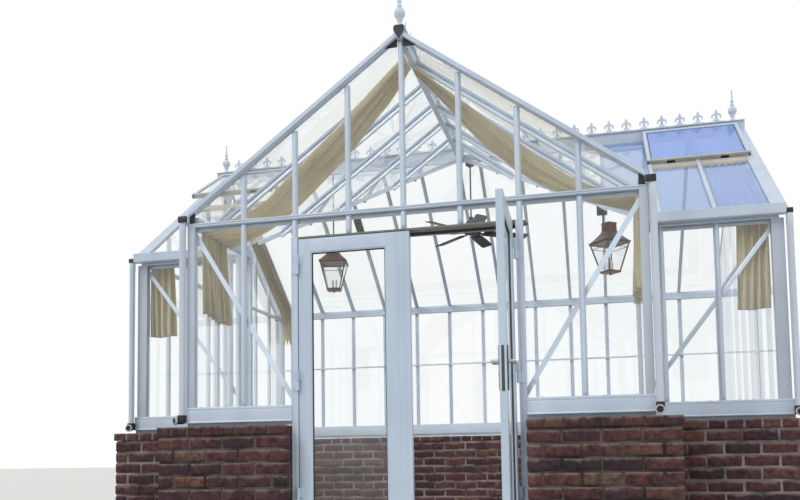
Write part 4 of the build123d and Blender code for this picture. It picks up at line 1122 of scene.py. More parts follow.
def leverParts(x, y, outward):
    # a long rounded backplate with a neck and a key barrel, and a lever that thins and sags on its
    # way, z = height - 3 sin(pi t), to an end that turns back to the leaf
    z, reach = levers["height"], levers["reach"]
    lo, hi = sorted((y + outward * 0.2, y + outward * 6))
    plate = roundBlocks((x - levers["plateHalf"], lo, levers["plateLow"]),
                        (x + levers["plateHalf"], hi, levers["plateHigh"]), 3.0, (6, 4, 6))
    neck = lathe([(0, 5), (13, 5), (13, 9), (9, 11), (9, 38), (10, 48), (0, 48)],
                 (x, y, z), 20, (0, outward, 0))
    a = np.linspace(0, 2 * math.pi, 13)[:-1]
    circle = np.stack([np.cos(a), np.sin(a)], -1)
    t, u = np.linspace(0, 1, 14), np.linspace(0, 1, 8)
    path = np.stack([x - 2 + levers["length"] * t, y + outward * reach + 0 * t,
                     z - 3 * np.sin(t * math.pi)], -1)
    grip = sweep(circle * (7, 9), path, (0, 1, 0), (0, 0, 1),
                 np.stack([1 - 0.25 * t, 1 - 0.2 * t], -1))
    hook = np.stack([x - 2 + levers["length"] + 5 * np.sin(u * 1.5),
                     y + outward * (reach - levers["returned"] * u), z + 0 * u], -1)
    back = sweep(circle * (5, 7), hook, (1, 0, 0), (0, 0, 1))
    barrel = lathe([(0, 5), (9, 5), (9, 9), (0, 9.5)], (x, y, z - levers["keyDrop"]), 18,
                   (0, outward, 0))
    return plate, [neck, grip, back, barrel]


def hungOpen(parts):
    pivot = (doors["axisX"], doors["axisY"])
    return [turned(part, doors["openAngle"], pivot) for part in parts]


leftMeet, rightMeet = doors["meeting"], doors["meeting"] + doors["gap"]
# the leaves wear the darker coat with the painted shade
makePiece("left_leaf_frame", "leaf", leafParts(-1, leftMeet, (30, 74)) + leafHinges(-1),
          ["left_door"], "left_leaf")
makePiece("left_leaf_gasket_and_shadow", "gasketAndShadow", gasketAndShadowParts(-1, leftMeet), body="left_leaf")
makePiece("right_leaf_frame", "leaf",
          hungOpen(leafParts(1, rightMeet, (60, 68)) + leafHinges(1)), ["right_door"],
          "right_leaf")
makePiece("right_leaf_gasket_and_shadow", "gasketAndShadow", hungOpen(gasketAndShadowParts(1, rightMeet)), body="right_leaf")
leverX = rightMeet + levers["fromEdge"]
frontLever = leverParts(leverX, doors["front"], -1)
backLever = leverParts(leverX, doors["back"], 1)
makePiece("right_leaf_backplates", "plate", hungOpen([frontLever[0], backLever[0]]),
          ["right_door_handles"], "right_leaf")
makePiece("right_leaf_levers", "steel", hungOpen(frontLever[1] + backLever[1]),
          ["right_door_handles"], "right_leaf")
latch = roundBlocks([(rightMeet - 0.8, -24, 918), (rightMeet - 3.5, -20, 1078)],
                    [(rightMeet + 1, -7, 1164), (rightMeet + 1, -11, 1092)], 0.9)
makePiece("right_leaf_latch", "plate", hungOpen([latch]), body="right_leaf")
makePiece("hinge_frame_halves", "frame", [
    part for s in sides for z in doors["levels"] for part in hingeHalf(s, z - 65, z - 0.3, False)
], ["door_hinge_plates"])

doorFrame = {"inner": 708.0, "postX": 730.0, "upperX": 733.0, "headLow": 2012.0,
             "headHalf": 707.5, "sealHalf": 700.0}
jambFace = rounded([(-22, -24), (22, -24), (22, 34), (12, 34), (11, 31.5), (8, 31.5), (7, 34),
                    (-22, 34)], 1.6)
makePiece("door_post_tubes", "frame", [
    upright(jambFace, s * doorFrame["postX"], 0, 0, doorFrame["headLow"]) for s in sides
] + [
    part for s in sides
    for part in glazingBar(s * doorFrame["upperX"], 0, headTop, high, tips=(False, True))
], ["door_posts"])
# outward distance against height: a stop for the leaves, then a head rail with a fine groove
headFace = rounded(lifted([
    (-24, -34), (-12, -34), (-12, 0), (30, 0), (34, 1.5), (34, 4), (30, 5), (30, 6.5), (34, 7.5),
    (34, 10), (-24, 10)], doorFrame["headLow"]), 0.8)
makePiece("door_head_rail", "head", [
    level(headFace, (-doorFrame["headHalf"], 0, 0), (doorFrame["headHalf"], 0, 0), (0, -1)),
], ["door_rails"])
makePiece("door_head_seal", "gasketAndShadow", [
    level(rectangle(-12, -8.5, 1981, 2001, 1.0), (-doorFrame["sealHalf"], 0, 0),
          (doorFrame["sealHalf"], 0, 0), (0, -1)),
])
headEnd = rectangle(-front, front, doorFrame["headLow"], headTop, 1.5)
threshold = rounded([(-24, 0.2), (40, 0.2), (40, 12), (30, 20), (4, 22), (2, 19.5), (-2, 19.5),
                     (-4, 22), (-24, 22)], 1.5)
clearWidth = doorFrame["inner"] - gap
makePiece("threshold_and_head_ends", "frame", [
    level(headEnd, (-door, 0, 0), (-doorFrame["inner"], 0, 0), (0, -1)),
    level(headEnd, (doorFrame["inner"], 0, 0), (door, 0, 0), (0, -1)),
    level(threshold, (-clearWidth, 0, 0), (clearWidth, 0, 0), (0, -1)),
], ["door_rails"])
print("doors hung")

vents = {"length": 743.0, "frame": 36.0, "thick": 28.0, "inner": 1601.0, "outer": 2378.0,
         "rise": 33.0, "leftLift": 6.4, "hingeY": 2349.7, "clipX": (1783.0, 2188.0),
         "openerX": 1993.0, "openerHalf": 33.0, "openerLength": 90.0}
mainPitch = math.degrees(math.atan(mainSlope))
ventPivotZ = mainHeight(vents["hingeY"]) + 8 + vents["rise"]
# a closed vent rises from the hinge by what its lower edge stands above the glass
closing = math.asin(vents["rise"] * math.cos(math.radians(mainPitch)) / vents["length"])
closedAngle = mainPitch + math.degrees(closing) - 0.1


def ventFrame(side, angle):
    # drawn flat from the hinge line, then tilted about it: place(x, d, h) is the point d down the
    # vent and h above its underside
    a, length, w, t = math.radians(angle), vents["length"], vents["frame"], vents["thick"]
    down = np.array([0, -math.cos(a), -math.sin(a)])
    up = np.array([0, -math.sin(a), math.cos(a)])

    def place(x, d, h=0.0):
        return np.array([x, vents["hingeY"], ventPivotZ]) + down * d + up * h

    section = rounded([(0, 0), (w, 0), (w, 12), (w - 6, 13), (w - 6, t - 5), (w - 12, t - 3),
                       (w - 14, t), (4, t), (0, t - 4)], 1.6)
    x0, x1 = side * vents["inner"], side * vents["outer"]
    lowEdge = [place(x0, length), place(x1, length)]
    rim = [
        sweep(section, [place(x0, 0.2), place(x0, length)], (side, 0, 0), up),
        sweep(section, [place(x1, 0.2), place(x1, length)], (-side, 0, 0), up),
        sweep(section, [place(x0, 0), place(x1, 0)], down, up),
    ]
    drip = [sweep(section, lowEdge, -down, up),
            sweep(rectangle(0, 6, -16, 1, 1.5), lowEdge, -down, up)]
    clips = [sweep(rectangle(-31, 31, -6, 13, 2.5),
                   [place(side * x, length - 12), place(side * x, length + 4)], (1, 0, 0), up)
             for x in vents["clipX"]]
    clips += [sweep(rectangle(-10, 10, -2, 6, 2.5),
                    [place(side * x, length - 10), place(side * x, length + 2)], (1, 0, 0), up)
              for x in (vents["inner"] + 9, vents["outer"] - 9)]
    # a line of rubber all round the pane
    seal, xa, xb = rectangle(-3, 3, 0, 5, 1.0), x0 + side * w, x1 - side * w
    seals = [sweep(seal, [place(xa, d, 13), place(xb, d, 13)], down, up) for d in (length - w, w)]
    seals += [sweep(seal, [place(x, length - w, 13), place(x, w, 13)], (1, 0, 0), up)
              for x in (xa, xb)]
    # two rails and a cross plate on the lower edge, and an arm down to the roof
    middle, foot = side * vents["openerX"], length - w - 2
    opener = []
    for k in sides:
        x = middle + k * vents["openerHalf"]
        opener.append(sweep(rectangle(-4, 4, -10, 11, 1.5),
                            [place(x, foot), place(x, foot - vents["openerLength"])],
                            (1, 0, 0), up))
    opener.append(sweep(rectangle(-37, 37, 1, 5, 1.5),
                        [place(middle, foot - 86), place(middle, foot - 94)], (1, 0, 0), up))
    armEnd = np.array([middle, ventFoot - 30, mainHeight(ventFoot - 30) - 16])
    opener.append(sweep(rectangle(-4, 4, -6, 6, 2.0), [place(middle, foot - 30, -6), armEnd],
                        (1, 0, 0), up))
    return rim, drip, clips, seals, opener


rims, drips, clips, seals, openers = [left + right for left, right in zip(
    ventFrame(-1, closedAngle - vents["leftLift"]), ventFrame(1, closedAngle))]
makePiece("vent_frames", "frame", rims, ["roof_vents"])
# the drip rails wear the beige-grey coat with the painted shade
makePiece("vent_drip_rails", "ventRail", drips, ["roof_vents"])
makePiece("vent_clips", "black", clips)
makePiece("vent_gaskets", "gasketAndShadow", seals)
makePiece("vent_openers", "steel", openers)


def barClip(x, y, z, outward):
    # a small black stop at the foot of a roof bar
    side = np.cross((*outward, 0), (0, 0, 1))
    end = (x + outward[0] * 9, y + outward[1] * 9, z - 7)
    return sweep(rectangle(-17, 17, -4, 11, 3.0), [(x, y, z), end], side, (0, 0, 1))


stops = {"wingX": (1985, 2318), "blockX": 1650, "blockHalf": 30, "inset": 4, "rise": 2}
footY = ridgeY - house["mainRun"]
footZ, rearFootY = mainHeight(footY), 2 * ridgeY - footY
clipParts = [barClip(s * x, footY + stops["inset"], footZ + stops["rise"], (0, -1))
             for s in sides for x in stops["wingX"]]
clipParts += [roundBlocks((s * stops["blockX"] - stops["blockHalf"], footY - 2, footZ - 2),
                          (s * stops["blockX"] + stops["blockHalf"], footY + 12, footZ + 12), 3.0)
              for s in sides]
clipParts += [barClip(x, rearFootY - stops["inset"], footZ + stops["rise"], (0, 1)) for x in rearX]
makePiece("roof_bar_stops", "black", clipParts)
print("vents hung")

pipes = {"radius": 22.0, "collar": 24.0, "shoeHalf": 24.0, "porchX": 1518.3, "porchY": -54.7,
         "mainX": 2440.0, "frontY": 837.7, "rearY": 3902.3, "shoeLow": 824.0, "shoeHigh": 878.0,
         "porchTop": 2172.0, "mainTop": 2161.7}
porchPipes = [(s * pipes["porchX"], pipes["porchY"]) for s in sides]
mainPipes = [(s * pipes["mainX"], y) for s in sides for y in (pipes["frontY"], pipes["rearY"])]


def pipeParts(x, y, top):
    # a round pipe with a socket at its head and a swaged end in the shoe
    r, c, z0 = pipes["radius"], pipes["collar"] - 0.6, pipes["shoeHigh"]
    return lathe([(0, z0), (r, z0), (r, top - 70), (c, top - 66), (c, top - 12), (r + 0.5, top - 9),
                  (r + 0.5, top), (0, top)], (x, y, 0), 28)


makePiece("rain_pipes", "pipe", [
    pipeParts(x, y, pipes["porchTop"]) for x, y in porchPipes
] + [pipeParts(x, y, pipes["mainTop"]) for x, y in mainPipes], ["downpipes"])

# each shoe is a socket with a short spout; the spout's end carries a grey ring round a dark mouth
shoes, rings, mouths = [], [], []
for x, y in porchPipes + mainPipes:
    h = pipes["shoeHalf"]
    shoes.append(roundBlocks((x - h, y - h, pipes["shoeLow"]), (x + h, y + h, pipes["shoeHigh"]),
                             4.0))
    back = 1 if y > 2000 else -1
    if abs(x) < 2000 and x < 0:
        centre, axis = (x - 34, y - 12, 840.0), (-0.55, -0.83, 0)
        shoes.append(lathe([(0, -46), (21, -46), (21, 14), (0, 14)], centre, 24, axis))
    else:
        lean = 0.1 if abs(x) < 2000 else 0.0
        centre, axis = (x - 70 * lean, y + back * 26, 838.0 - 60 * lean), (lean, back, 0)
        shoes.append(lathe([(0, -30), (21, -30), (21, 8), (0, 8)], centre, 24, axis))
    axis = np.array(axis) / np.linalg.norm(axis)
    rings.append(lathe([(20, 4), (27, 4), (28, 6), (28, 16), (26.5, 18), (21.5, 18), (20, 16)],
                       centre, 28, axis, ring=True))
    mouths.append(lathe([(0, 5), (20.2, 5), (20.2, 13), (18, 13), (17.5, 7), (0, 7)], centre, 24,
                        axis))
makePiece("pipe_shoes", "black", shoes + mouths, ["downpipe_shoes"])
makePiece("spout_rings", "grommet", rings)

fittings = {"plateBack": -26.5, "underVerge": 32.3, "postPlate": 36.0, "gusset": (20.3, 101.0)}


def plateXZ(points, y0, y1, radius=1.5):
    # a flat plate in the XZ plane with eased corners
    return sweep(rounded(points, radius), [(0, y0, 0), (0, y1, 0)], (1, 0, 0), (0, 0, 1))


def underVerge(x, drop=fittings["underVerge"]):
    return porchHeight(x) - drop


# a crown plate at the apex, then on each side a plate over the post, a gusset under the ridge and
# the ends of the gutters
blackParts = [plateXZ([
    (0, 3252), (34, 3304), (36, 3332), (24, 3343), (10, 3341), (-10, 3341), (-24, 3343),
    (-36, 3332), (-34, 3304)], -60.3, -68.0, 6.0)]
plateBack, (near, far) = fittings["plateBack"], fittings["gusset"]
for s in sides:
    x1 = gutters["back"] - gap
    x0 = x1 - fittings["postPlate"]
    blackParts.append(plateXZ([
        (s * x0, tie + 0.5), (s * x1, tie + 0.5), (s * x1, underVerge(x1)),
        (s * x0, underVerge(x0))], plateBack, plateBack - 7.5))
    blackParts.append(plateXZ([
        (s * (near - 1), underVerge(far)), (s * far, underVerge(far)), (s * near, underVerge(near)),
        (s * (near - 1), underVerge(near, 34.0))], plateBack, plateBack - 5.0))
    xa, xb = sorted((s * gutters["back"], s * (gutters["back"] + gutters["width"])))
    blackParts.append(roundBlocks(
        (xa, -gutters["front"] - gutters["capDepth"], gutters["porchLow"]),
        (xb, -gutters["front"] - gap, gutters["porchHigh"]), 3.0))
    xa, xb = sorted((s * (gutters["end"] + gap), s * (gutters["end"] + gutters["capWidth"])))
    for y in (pipes["frontY"], pipes["rearY"]):
        blackParts.append(roundBlocks(
            (xa, y - gutters["capHalf"], gutters["low"]),
            (xb, y + gutters["capHalf"], gutters["low"] + gutters["capHeight"]), 4.0))
makePiece("black_fittings", "black", blackParts, ["black_caps"])
print("pipes and fittings set")

straps = {"width": 32.0, "thick": 4.0, "low": 963.0, "high": 2085.0, "behind": 4.3,
          "boltInset": 12.0, "rail": (1568.0, 1584.0)}


def strap(start, end):
    # sloping keeps its section upright, so the strip's width is divided by the cosine of its lean
    rise, run = end[2] - start[2], math.hypot(end[0] - start[0], end[1] - start[1])
    half = straps["width"] / 2 / math.cos(math.atan2(rise, run))
    return sloping(rectangle(-straps["thick"] / 2, straps["thick"] / 2, -half, half, 1.0),
                   start, end)


def boltHead(x, y, z, outward, radius=8.0):
    # a domed screw head on a washer, turned about the way it faces
    return lathe([(0, -1), (radius * 1.4, -1), (radius * 1.4, 1.2), (radius, 1.4), (radius, 3.5),
                  (radius * 0.7, 5.6), (0, 6.2)], (x, y, z), 14, outward)


braceParts = []
for s in sides:
    for xa, xb, y in ((door + gap, postInner - gap, 0.0),
                      (hw + inside + gap, mainPostInner - gap, fy)):
        mid = y + straps["behind"] + straps["thick"] / 2
        braceParts.append(strap((s * xa, mid, straps["low"]), (s * xb, mid, straps["high"])))
        for x, z, k in ((xa, straps["low"], 1), (xb, straps["high"], -1)):
            inset = k * straps["boltInset"]
            lift = inset * (straps["high"] - straps["low"]) / (xb - xa)
            braceParts.append(boltHead(s * (x + inset), mid + straps["thick"] / 2, z + lift,
                                       (0, 1, 0)))
railBack, railEnd = ry - straps["behind"], mainPostInner - gap
braceParts.append(level(rectangle(-14, 0, *straps["rail"]), (-railEnd, railBack, 0),
                        (railEnd, railBack, 0), (0, 1)))
makePiece("wind_straps", "frame", braceParts, ["wind_braces"])

lanterns = {"rod": 1245.0, "at": (-1245.0, 1294.0), "rim": 2425.0, "body": 262.0, "hood": 100.0,
            "cap": 76.0, "rimWidth": 250.0, "foot": 128.0, "top": 100.0, "turns": (12.0, 40.0),
            "bar": 13.0}


def square(h, z, bar, tall):
    # four bars round a square at one height, h from its middle to its outer faces
    return roundBlocks(
        [(-h, -h, z), (-h, h - bar, z), (-h, -h, z), (h - bar, -h, z)],
        [(h, -h + bar, z + tall), (h, h, z + tall), (-h + bar, h, z + tall), (h, h, z + tall)], 2.0)


def lanternParts():
    # a tapering cage of bars, a four-sided hood with a vent cap, panes, and a cluster of candles
    z1 = lanterns["rim"]
    z0 = z1 - lanterns["body"]
    a, b, bar = lanterns["foot"] / 2, lanterns["rimWidth"] / 2, lanterns["bar"]
    cage = [square(a, z0, bar, 12), square(b, z1 - 14, bar, 14), square(b * 0.86, z1 - 52, 6, 5)]
    for sx in sides:
        for sy in sides:
            low = np.array([sx * (a - bar / 2), sy * (a - bar / 2), z0 + 2])
            high = np.array([sx * (b - bar / 2), sy * (b - bar / 2), z1 - 2])
            cage.append(sweep(rectangle(-5.5, 5.5, -5.5, 5.5, 1.5), [low, high], (1, 0, 0),
                              (0, 1, 0)))
    cage.append(roundBlocks((-a, -a, z0 - 6), (a, a, z0 + 2), 2.0))
    cage.append(lathe([(0, -22), (7, -20), (9, -12), (5, -5), (12, 0), (0, 0)], (0, 0, z0 - 5), 16))
    hood = []
    h0, h1 = b + 6, lanterns["top"] / 2
    top = z1 + lanterns["hood"]
    capTop = top + lanterns["cap"]
    rise = np.linspace(0, 1, 9)
    flare = h1 + (h0 - h1) * (1 - rise) ** 1.25
    corners = np.array([(-1, -1), (1, -1), (1, 1), (-1, 1)], float)
    outer = rounded(corners, 0.04, 1)
    path = np.stack([0 * rise, 0 * rise, z1 + rise * lanterns["hood"]], -1)
    hood.append(sweep(outer, path, (1, 0, 0), (0, 1, 0), np.stack([flare, flare], -1)))
    hood.append(roundBlocks((-h1 + 4, -h1 + 4, top - 2), (h1 - 4, h1 - 4, capTop - 10), 3.0))
    hood.append(roundBlocks((-h1, -h1, capTop - 10), (h1, h1, capTop), 3.0))
    hood.append(roundBlocks((-h1 + 1, -h1 + 1, top + 14), (h1 - 1, h1 - 1, top + 20), 2.0))
    hood.append(square(b + 6, z1 - 3, 8, 6))
    candles = [lathe([(0, 0), (8, 0), (8, 72), (6, 74), (0, 74)], (dx, dy, z0 + 20), 14)
               for dx, dy in ((22, 0), (-11, 19), (-11, -19))]
    cage.append(lathe([(0, 0), (34, 0), (36, 4), (30, 8), (30, 20), (0, 20)], (0, 0, z0 + 2), 24))
    panes = []
    for turn in (0, 90, 180, 270):
        y0, y1 = a - bar / 2, b - bar / 2
        quad = np.array([(-y0, y0, z0 + 12), (y0, y0, z0 + 12), (y1, y1, z1 - 14),
                         (-y1, y1, z1 - 14)], float)
        back = quad - (0, 2.0, 0)
        points = np.concatenate([quad, back])
        faces = [np.array([[3, 2, 1, 0], [4, 5, 6, 7], [0, 1, 5, 4], [1, 2, 6, 5], [2, 3, 7, 6],
                           [3, 0, 4, 7]])]
        panes.append(turned((points, faces), turn, (0, 0)))
    return cage, hood, candles, panes


cage, hood, candles, panes = [joined(group) for group in lanternParts()]


def lanternAt(part, x, turn):
    return repeated(turned(part, turn, (0, 0)), [(x, ridgeY, 0)])


spots = list(zip(lanterns["at"], lanterns["turns"]))
makePiece("lantern_cages", "copper", [lanternAt(cage, s, t) for s, t in spots],
          ["lantern_bodies"], sharp=40)
makePiece("lantern_roofs", "copper", [lanternAt(hood, s, t) for s, t in spots],
          ["lantern_hoods"], sharp=40)
makePiece("lantern_candles", "candle", [lanternAt(candles, s, t) for s, t in spots])
lanternPanes = makePiece("lantern_panes", "wallGlass", [lanternAt(panes, s, t) for s, t in spots])
rodTop = house["mainApex"] - ridge["below"]
hoodTop = lanterns["rim"] + lanterns["hood"] + lanterns["cap"]
fan = {"x": 76.0, "height": 2613.0, "radius": 554.0, "width": 104.0, "count": 7, "start": 31.0,
       "hub": 70.0, "pitch": -12.0, "motorUp": 111.0}
rods = {"radius": 6.0, "collar": 9.0, "overlap": 560.0, "block": (2682.0, 2758.0),
        "boxNear": -1150.0, "box": (2792.0, 2926.0)}
motorTop, r, c = fan["height"] + fan["motorUp"], rods["radius"], rods["collar"]
# each lantern's stem in two lengths, the lower one with a collar on the lantern's cap
rodParts = [lathe(outline, (s * lanterns["rod"], ridgeY, 0), 16) for outline in (
    [(0, hoodTop - 2), (c, hoodTop - 2), (c, hoodTop + 10), (r, hoodTop + 14),
     (r, rodTop - 150), (0, rodTop - 150)],
    [(0, rodTop - rods["overlap"]), (r, rodTop - rods["overlap"]), (r, rodTop), (0, rodTop)],
) for s in sides]
blockLow, blockHigh = rods["block"]
rodParts.append(roundBlocks((lanterns["rod"] - 52, ridgeY - 32, blockLow),
                            (lanterns["rod"] + 38, ridgeY + 32, blockHigh), 4.0))
# a small dark box under the rear roof bar nearest to its place
boxX = min(rearX, key=lambda x: abs(x - rods["boxNear"]))
rodParts.append(sloping(rectangle(-38, 38, -86, -58.0, 4.0),
                        *[(boxX, y, mainHeight(y)) for y in rods["box"]]))
rodParts.append(lathe([(0, motorTop - 4), (22, motorTop - 4), (20, motorTop + 30),
                       (7, motorTop + 40), (7, rodTop - 60), (40, rodTop - 40), (44, rodTop - 1),
                       (0, rodTop - 1)], (fan["x"], ridgeY, 0), 24))
makePiece("hanging_stems", "bronze", rodParts, ["hanging_rods"])
motorLow = fan["height"] + 15
makePiece("fan_housing", "bronze", [
    lathe([(0, motorLow), (44, motorLow), (56, motorLow + 8), (62, motorLow + 24),
           (62, motorLow + 58), (58, motorLow + 66), (52, motorLow + 70), (50, motorLow + 80),
           (34, motorLow + 94), (0, motorLow + 96)], (fan["x"], ridgeY, 0), 32),
    lathe([(0, fan["height"] + 9.3), (7, fan["height"] + 9.3), (7, motorLow), (0, motorLow)],
          (fan["x"], ridgeY, 0), 16),
], ["fan_motor"], sharp=50)


def bladeParts():
    # a plank with rounded tip corners, tilted by its pitch, on a waisted iron
    n = 15
    t = np.linspace(0, 1, n)
    r = 118 + (fan["radius"] - 118) * t
    half = fan["width"] / 2 * np.sqrt(np.clip(1 - np.clip((t - 0.97) / 0.03, 0, 1) ** 3, 0.6, 1))
    half *= 0.86 + 0.14 * np.clip(t / 0.5, 0, 1)
    c, s = math.cos(math.radians(fan["pitch"])), math.sin(math.radians(fan["pitch"]))
    path = np.stack([r, 0 * r, 0 * r], -1)
    blade = sweep(rectangle(-1, 1, -3, 3, 0.5), path, (0, c, s), (0, -s, c),
                  np.stack([half, 1 + 0 * t], -1))
    u = np.linspace(0, 1, 9)
    iron = sweep(rectangle(-1, 1, -2.5, 2.5, 0.4),
                 np.stack([45 + 150 * u, 0 * u, -5 - 0 * u], -1), (0, c, s), (0, -s, c),
                 np.stack([26 - 14 * np.sin(u * math.pi), 1 + 0 * u], -1))
    screws = [lathe([(0, -10.5), (4, -10), (5, -8), (5, -6), (0, -6)], (x, y, 0), 10)
              for x, y in ((150, 9), (150, -9), (178, 0))]
    return joined([blade, iron] + screws)


oneBlade = bladeParts()
bladeRing = [turned(oneBlade, 360.0 / fan["count"] * k + fan["start"], (0, 0))
             for k in range(fan["count"])]
h = fan["hub"]
hub = lathe([(0, -16), (20, -15), (34, -11), (52, -9), (h - 4, -8), (h, -4), (h, 5), (h - 4, 9),
             (0, 9)], (0, 0, 0), 36)
makePiece("fan_blade_ring", "bronze", [
    repeated(part, [(fan["x"], ridgeY, fan["height"])]) for part in bladeRing + [hub]
], ["fan_blades"], "fan", sharp=50)
print("lanterns and fan hung")

cloths = {"thick": 1.4, "ridgeX": 10.0, "ridgeZ": 3240.0, "ceiling": 62.0, "postGap": 14.0,
          "swagFoldCount": 6, "swagWidth": 590.0}
# each swag from ridge to eave: share of the way, y of the near edge and of the belly, and how far
# both hang below the roof's outer face
swagLines = {
    -1: [(0.0, 150, 235, 70, 76), (0.1, 190, 330, 76, 126), (0.35, 290, 470, 75, 200),
         (0.6, 340, 540, 95, 215), (0.8, 350, 530, 150, 225), (1.0, 60, 280, 153, 160)],
    1: [(0.0, 300, 380, 70, 76), (0.1, 323, 430, 76, 130), (0.27, 390, 610, 100, 230),
        (0.47, 450, 650, 145, 275), (0.62, 430, 570, 180, 285), (0.78, 330, 430, 205, 260),
        (1.0, 110, 230, 153, 160)],
}


def clothSheet(name, grid, look="cloth"):
    # a grid of points, rows down the cloth and columns across, as one sheet; its UV map is the
    # flat cloth in metres
    rows, columns = grid.shape[:2]
    across = np.linalg.norm(np.diff(grid, axis=1), axis=2)
    down = np.linalg.norm(np.diff(grid, axis=0), axis=2)
    width, length = across.sum(1).mean() / 1000, down.sum(0).mean() / 1000
    number = np.arange(rows * columns).reshape(rows, columns)
    quads = np.stack([number[:-1, :-1], number[1:, :-1], number[1:, 1:], number[:-1, 1:]], -1)
    piece = makePiece(name, look, [(grid.reshape(-1, 3), [quads.reshape(-1, 4)])],
                      ["shade_cloths"], sharp=180)
    u, v = np.meshgrid(np.linspace(0, width, columns), np.linspace(0, length, rows))
    flat = np.stack([u, v], -1).reshape(-1, 2)
    layer = piece.data.uv_layers.new(name="cloth")
    corner = np.zeros(len(piece.data.loops), np.int32)
    piece.data.loops.foreach_get("vertex_index", corner)
    layer.data.foreach_set("uv", flat[corner].astype(np.float32).ravel())
    thick = piece.modifiers.new("cloth thickness", "SOLIDIFY")
    thick.thickness = cloths["thick"] * 0.001
    thick.offset = 0.0
    print(name, "flat", round(width, 3), "by", round(length, 3), "m")
    return piece


def eased(knots, values, t):
    # values read off between the knots, then run through a short even average
    line = np.interp(t, knots, values)
    padded = np.pad(line, 6, mode="reflect", reflect_type="odd")
    return np.convolve(padded, np.ones(13) / 13, mode="valid")


def foldDepth(width, chord, count):
    # a cloth of a given width over a shorter chord stands in n folds:
    # depth = sqrt(width^2 - chord^2) / 4n
    return np.sqrt(np.maximum(width ** 2 - chord ** 2, 0.0)) / (4 * count)


def swagGrid(side, phase):
    # a belly, which is a sine across the cloth, hung between its two edges, and fine folds where
    # they close up
    rows, n = 91, cloths["swagFoldCount"]
    t = np.linspace(0, 1, rows)
    knots, near, middle, nearDrop, middleDrop = np.array(swagLines[side], float).T
    near, middle, nearDrop, middleDrop = [
        eased(knots, line, t)[:, None] for line in (near, middle, nearDrop, middleDrop)]
    w = np.linspace(0, 1, n * 14 + 1)[None, :]
    t = t[:, None]
    x = cloths["ridgeX"] + (postInner - cloths["postGap"] - cloths["ridgeX"]) * t
    across = 2 * (middle - near)
    belly = (middleDrop - nearDrop) * np.sin(math.pi * w)
    spread = np.sqrt(across ** 2 + 4 * (middleDrop - nearDrop) ** 2)
    depth = foldDepth(cloths["swagWidth"], spread, n)
    angle = 2 * math.pi * n * w + phase + 2.2 * np.sin(3.1 * w + 2.5 * t + phase)
    fold = depth * (0.8 + 0.35 * np.sin(5 * w + 3 * t)) * np.sin(angle)
    y = near + across * w + 0.25 * depth * np.cos(angle)
    roof = porchHeight(0) - x * porchSlope
    z = np.minimum(roof - nearDrop - belly + fold, roof - cloths["ceiling"])
    z = np.minimum(z, cloths["ridgeZ"])
    return np.stack([side * x + 0 * w, y, z], -1)


def curtainGrid(start, end, inward, top, lows, width, count, phase, spread=0.0):
    # hangs from a line: folds open downwards by the rule of foldDepth, wander, and end in a waved
    # hem
    start, end, inward = [np.array((*p, 0.0)) for p in (start, end, inward)]
    t, w = np.meshgrid(np.linspace(0, 1, 49), np.linspace(0, 1, count * 16 + 1), indexing="ij")
    chord = np.linalg.norm(end - start)
    depth = foldDepth(width, chord, count)
    angle = 2 * math.pi * count * w + phase + 1.1 * np.sin(2.6 * t + 4.3 * w + phase)
    out = depth * (1 + 0.3 * np.sin(9 * w + phase) * t) * (1 - np.cos(angle)) * (0.6 + 0.4 * t)
    along = w + 0.25 * depth / chord * np.sin(2 * angle) * t - spread / chord * t ** 1.5 * (1 - w)
    low = lows[0] + (lows[1] - lows[0]) * w
    z = top - (top - low) * t + t * (5 * np.sin(7 * w + phase) - 3 * np.cos(angle))
    flat = start + (end - start) * along[..., None] + inward * out[..., None]
    return flat * (1, 1, 0) + z[..., None] * np.array([0, 0, 1.0])


def slopeGrid(x0, x1, path, width, count, sag, phase):
    # lies along a line of (y, z) points under a slope, with folds running down it
    path = np.array(path, float)
    reach = np.concatenate([[0], np.cumsum(np.linalg.norm(np.diff(path, axis=0), axis=1))])
    t = np.linspace(0, 1, 81)
    y, z = [eased(reach / reach[-1], path[:, i], t)[:, None] for i in (0, 1)]
    t, w = t[:, None], np.linspace(0, 1, count * 14 + 1)[None, :]
    depth = foldDepth(width, abs(x1 - x0), count)
    angle = 2 * math.pi * count * w + phase + 0.9 * np.sin(3 * t + 5 * w)
    z = z - sag * np.sin(math.pi * t) - depth * (1 - np.cos(angle))
    x = x0 + (x1 - x0) * (w + 0.004 * np.sin(2 * angle) * np.sin(9 * t)) + 0 * t
    return np.stack([x, y + 0 * w, z], -1)


curtains = {"wingY": fy + 19.5, "wingX": mainPostInner - 3, "wingWidth": 205.0, "wingFlat": 430.0,
            "wingTop": 2170.0, "wingHems": (1570.0, 1545.0), "porchX": hw - 6.5,
            "porchStart": 90.0, "porchEnd": 430.0, "porchFlat": 640.0, "porchTop": 2145.0,
            "porchHems": (1545.0, 1580.0), "phases": (0.4, 2.1)}
for s, phase, hem in zip(sides, curtains["phases"], curtains["wingHems"]):
    label = "left" if s < 0 else "right"
    clothSheet(label + "_porch_swag", swagGrid(s, phase))
    x, y = curtains["wingX"], curtains["wingY"]
    clothSheet(label + "_wing_curtain", curtainGrid(
        (s * (x - curtains["wingWidth"]), y), (s * x, y), (0, 1), curtains["wingTop"],
        (hem, hem), curtains["wingFlat"], 4, phase, 18.0))
    x = s * curtains["porchX"]
    clothSheet(label + "_porch_curtain", curtainGrid(
        (x, curtains["porchEnd"]), (x, curtains["porchStart"]), (-s, 0), curtains["porchTop"],
        curtains["porchHems"], curtains["porchFlat"], 6, phase + 1, 60.0))


def underSlope(y, drop):
    return (y, mainHeight(y) - drop)


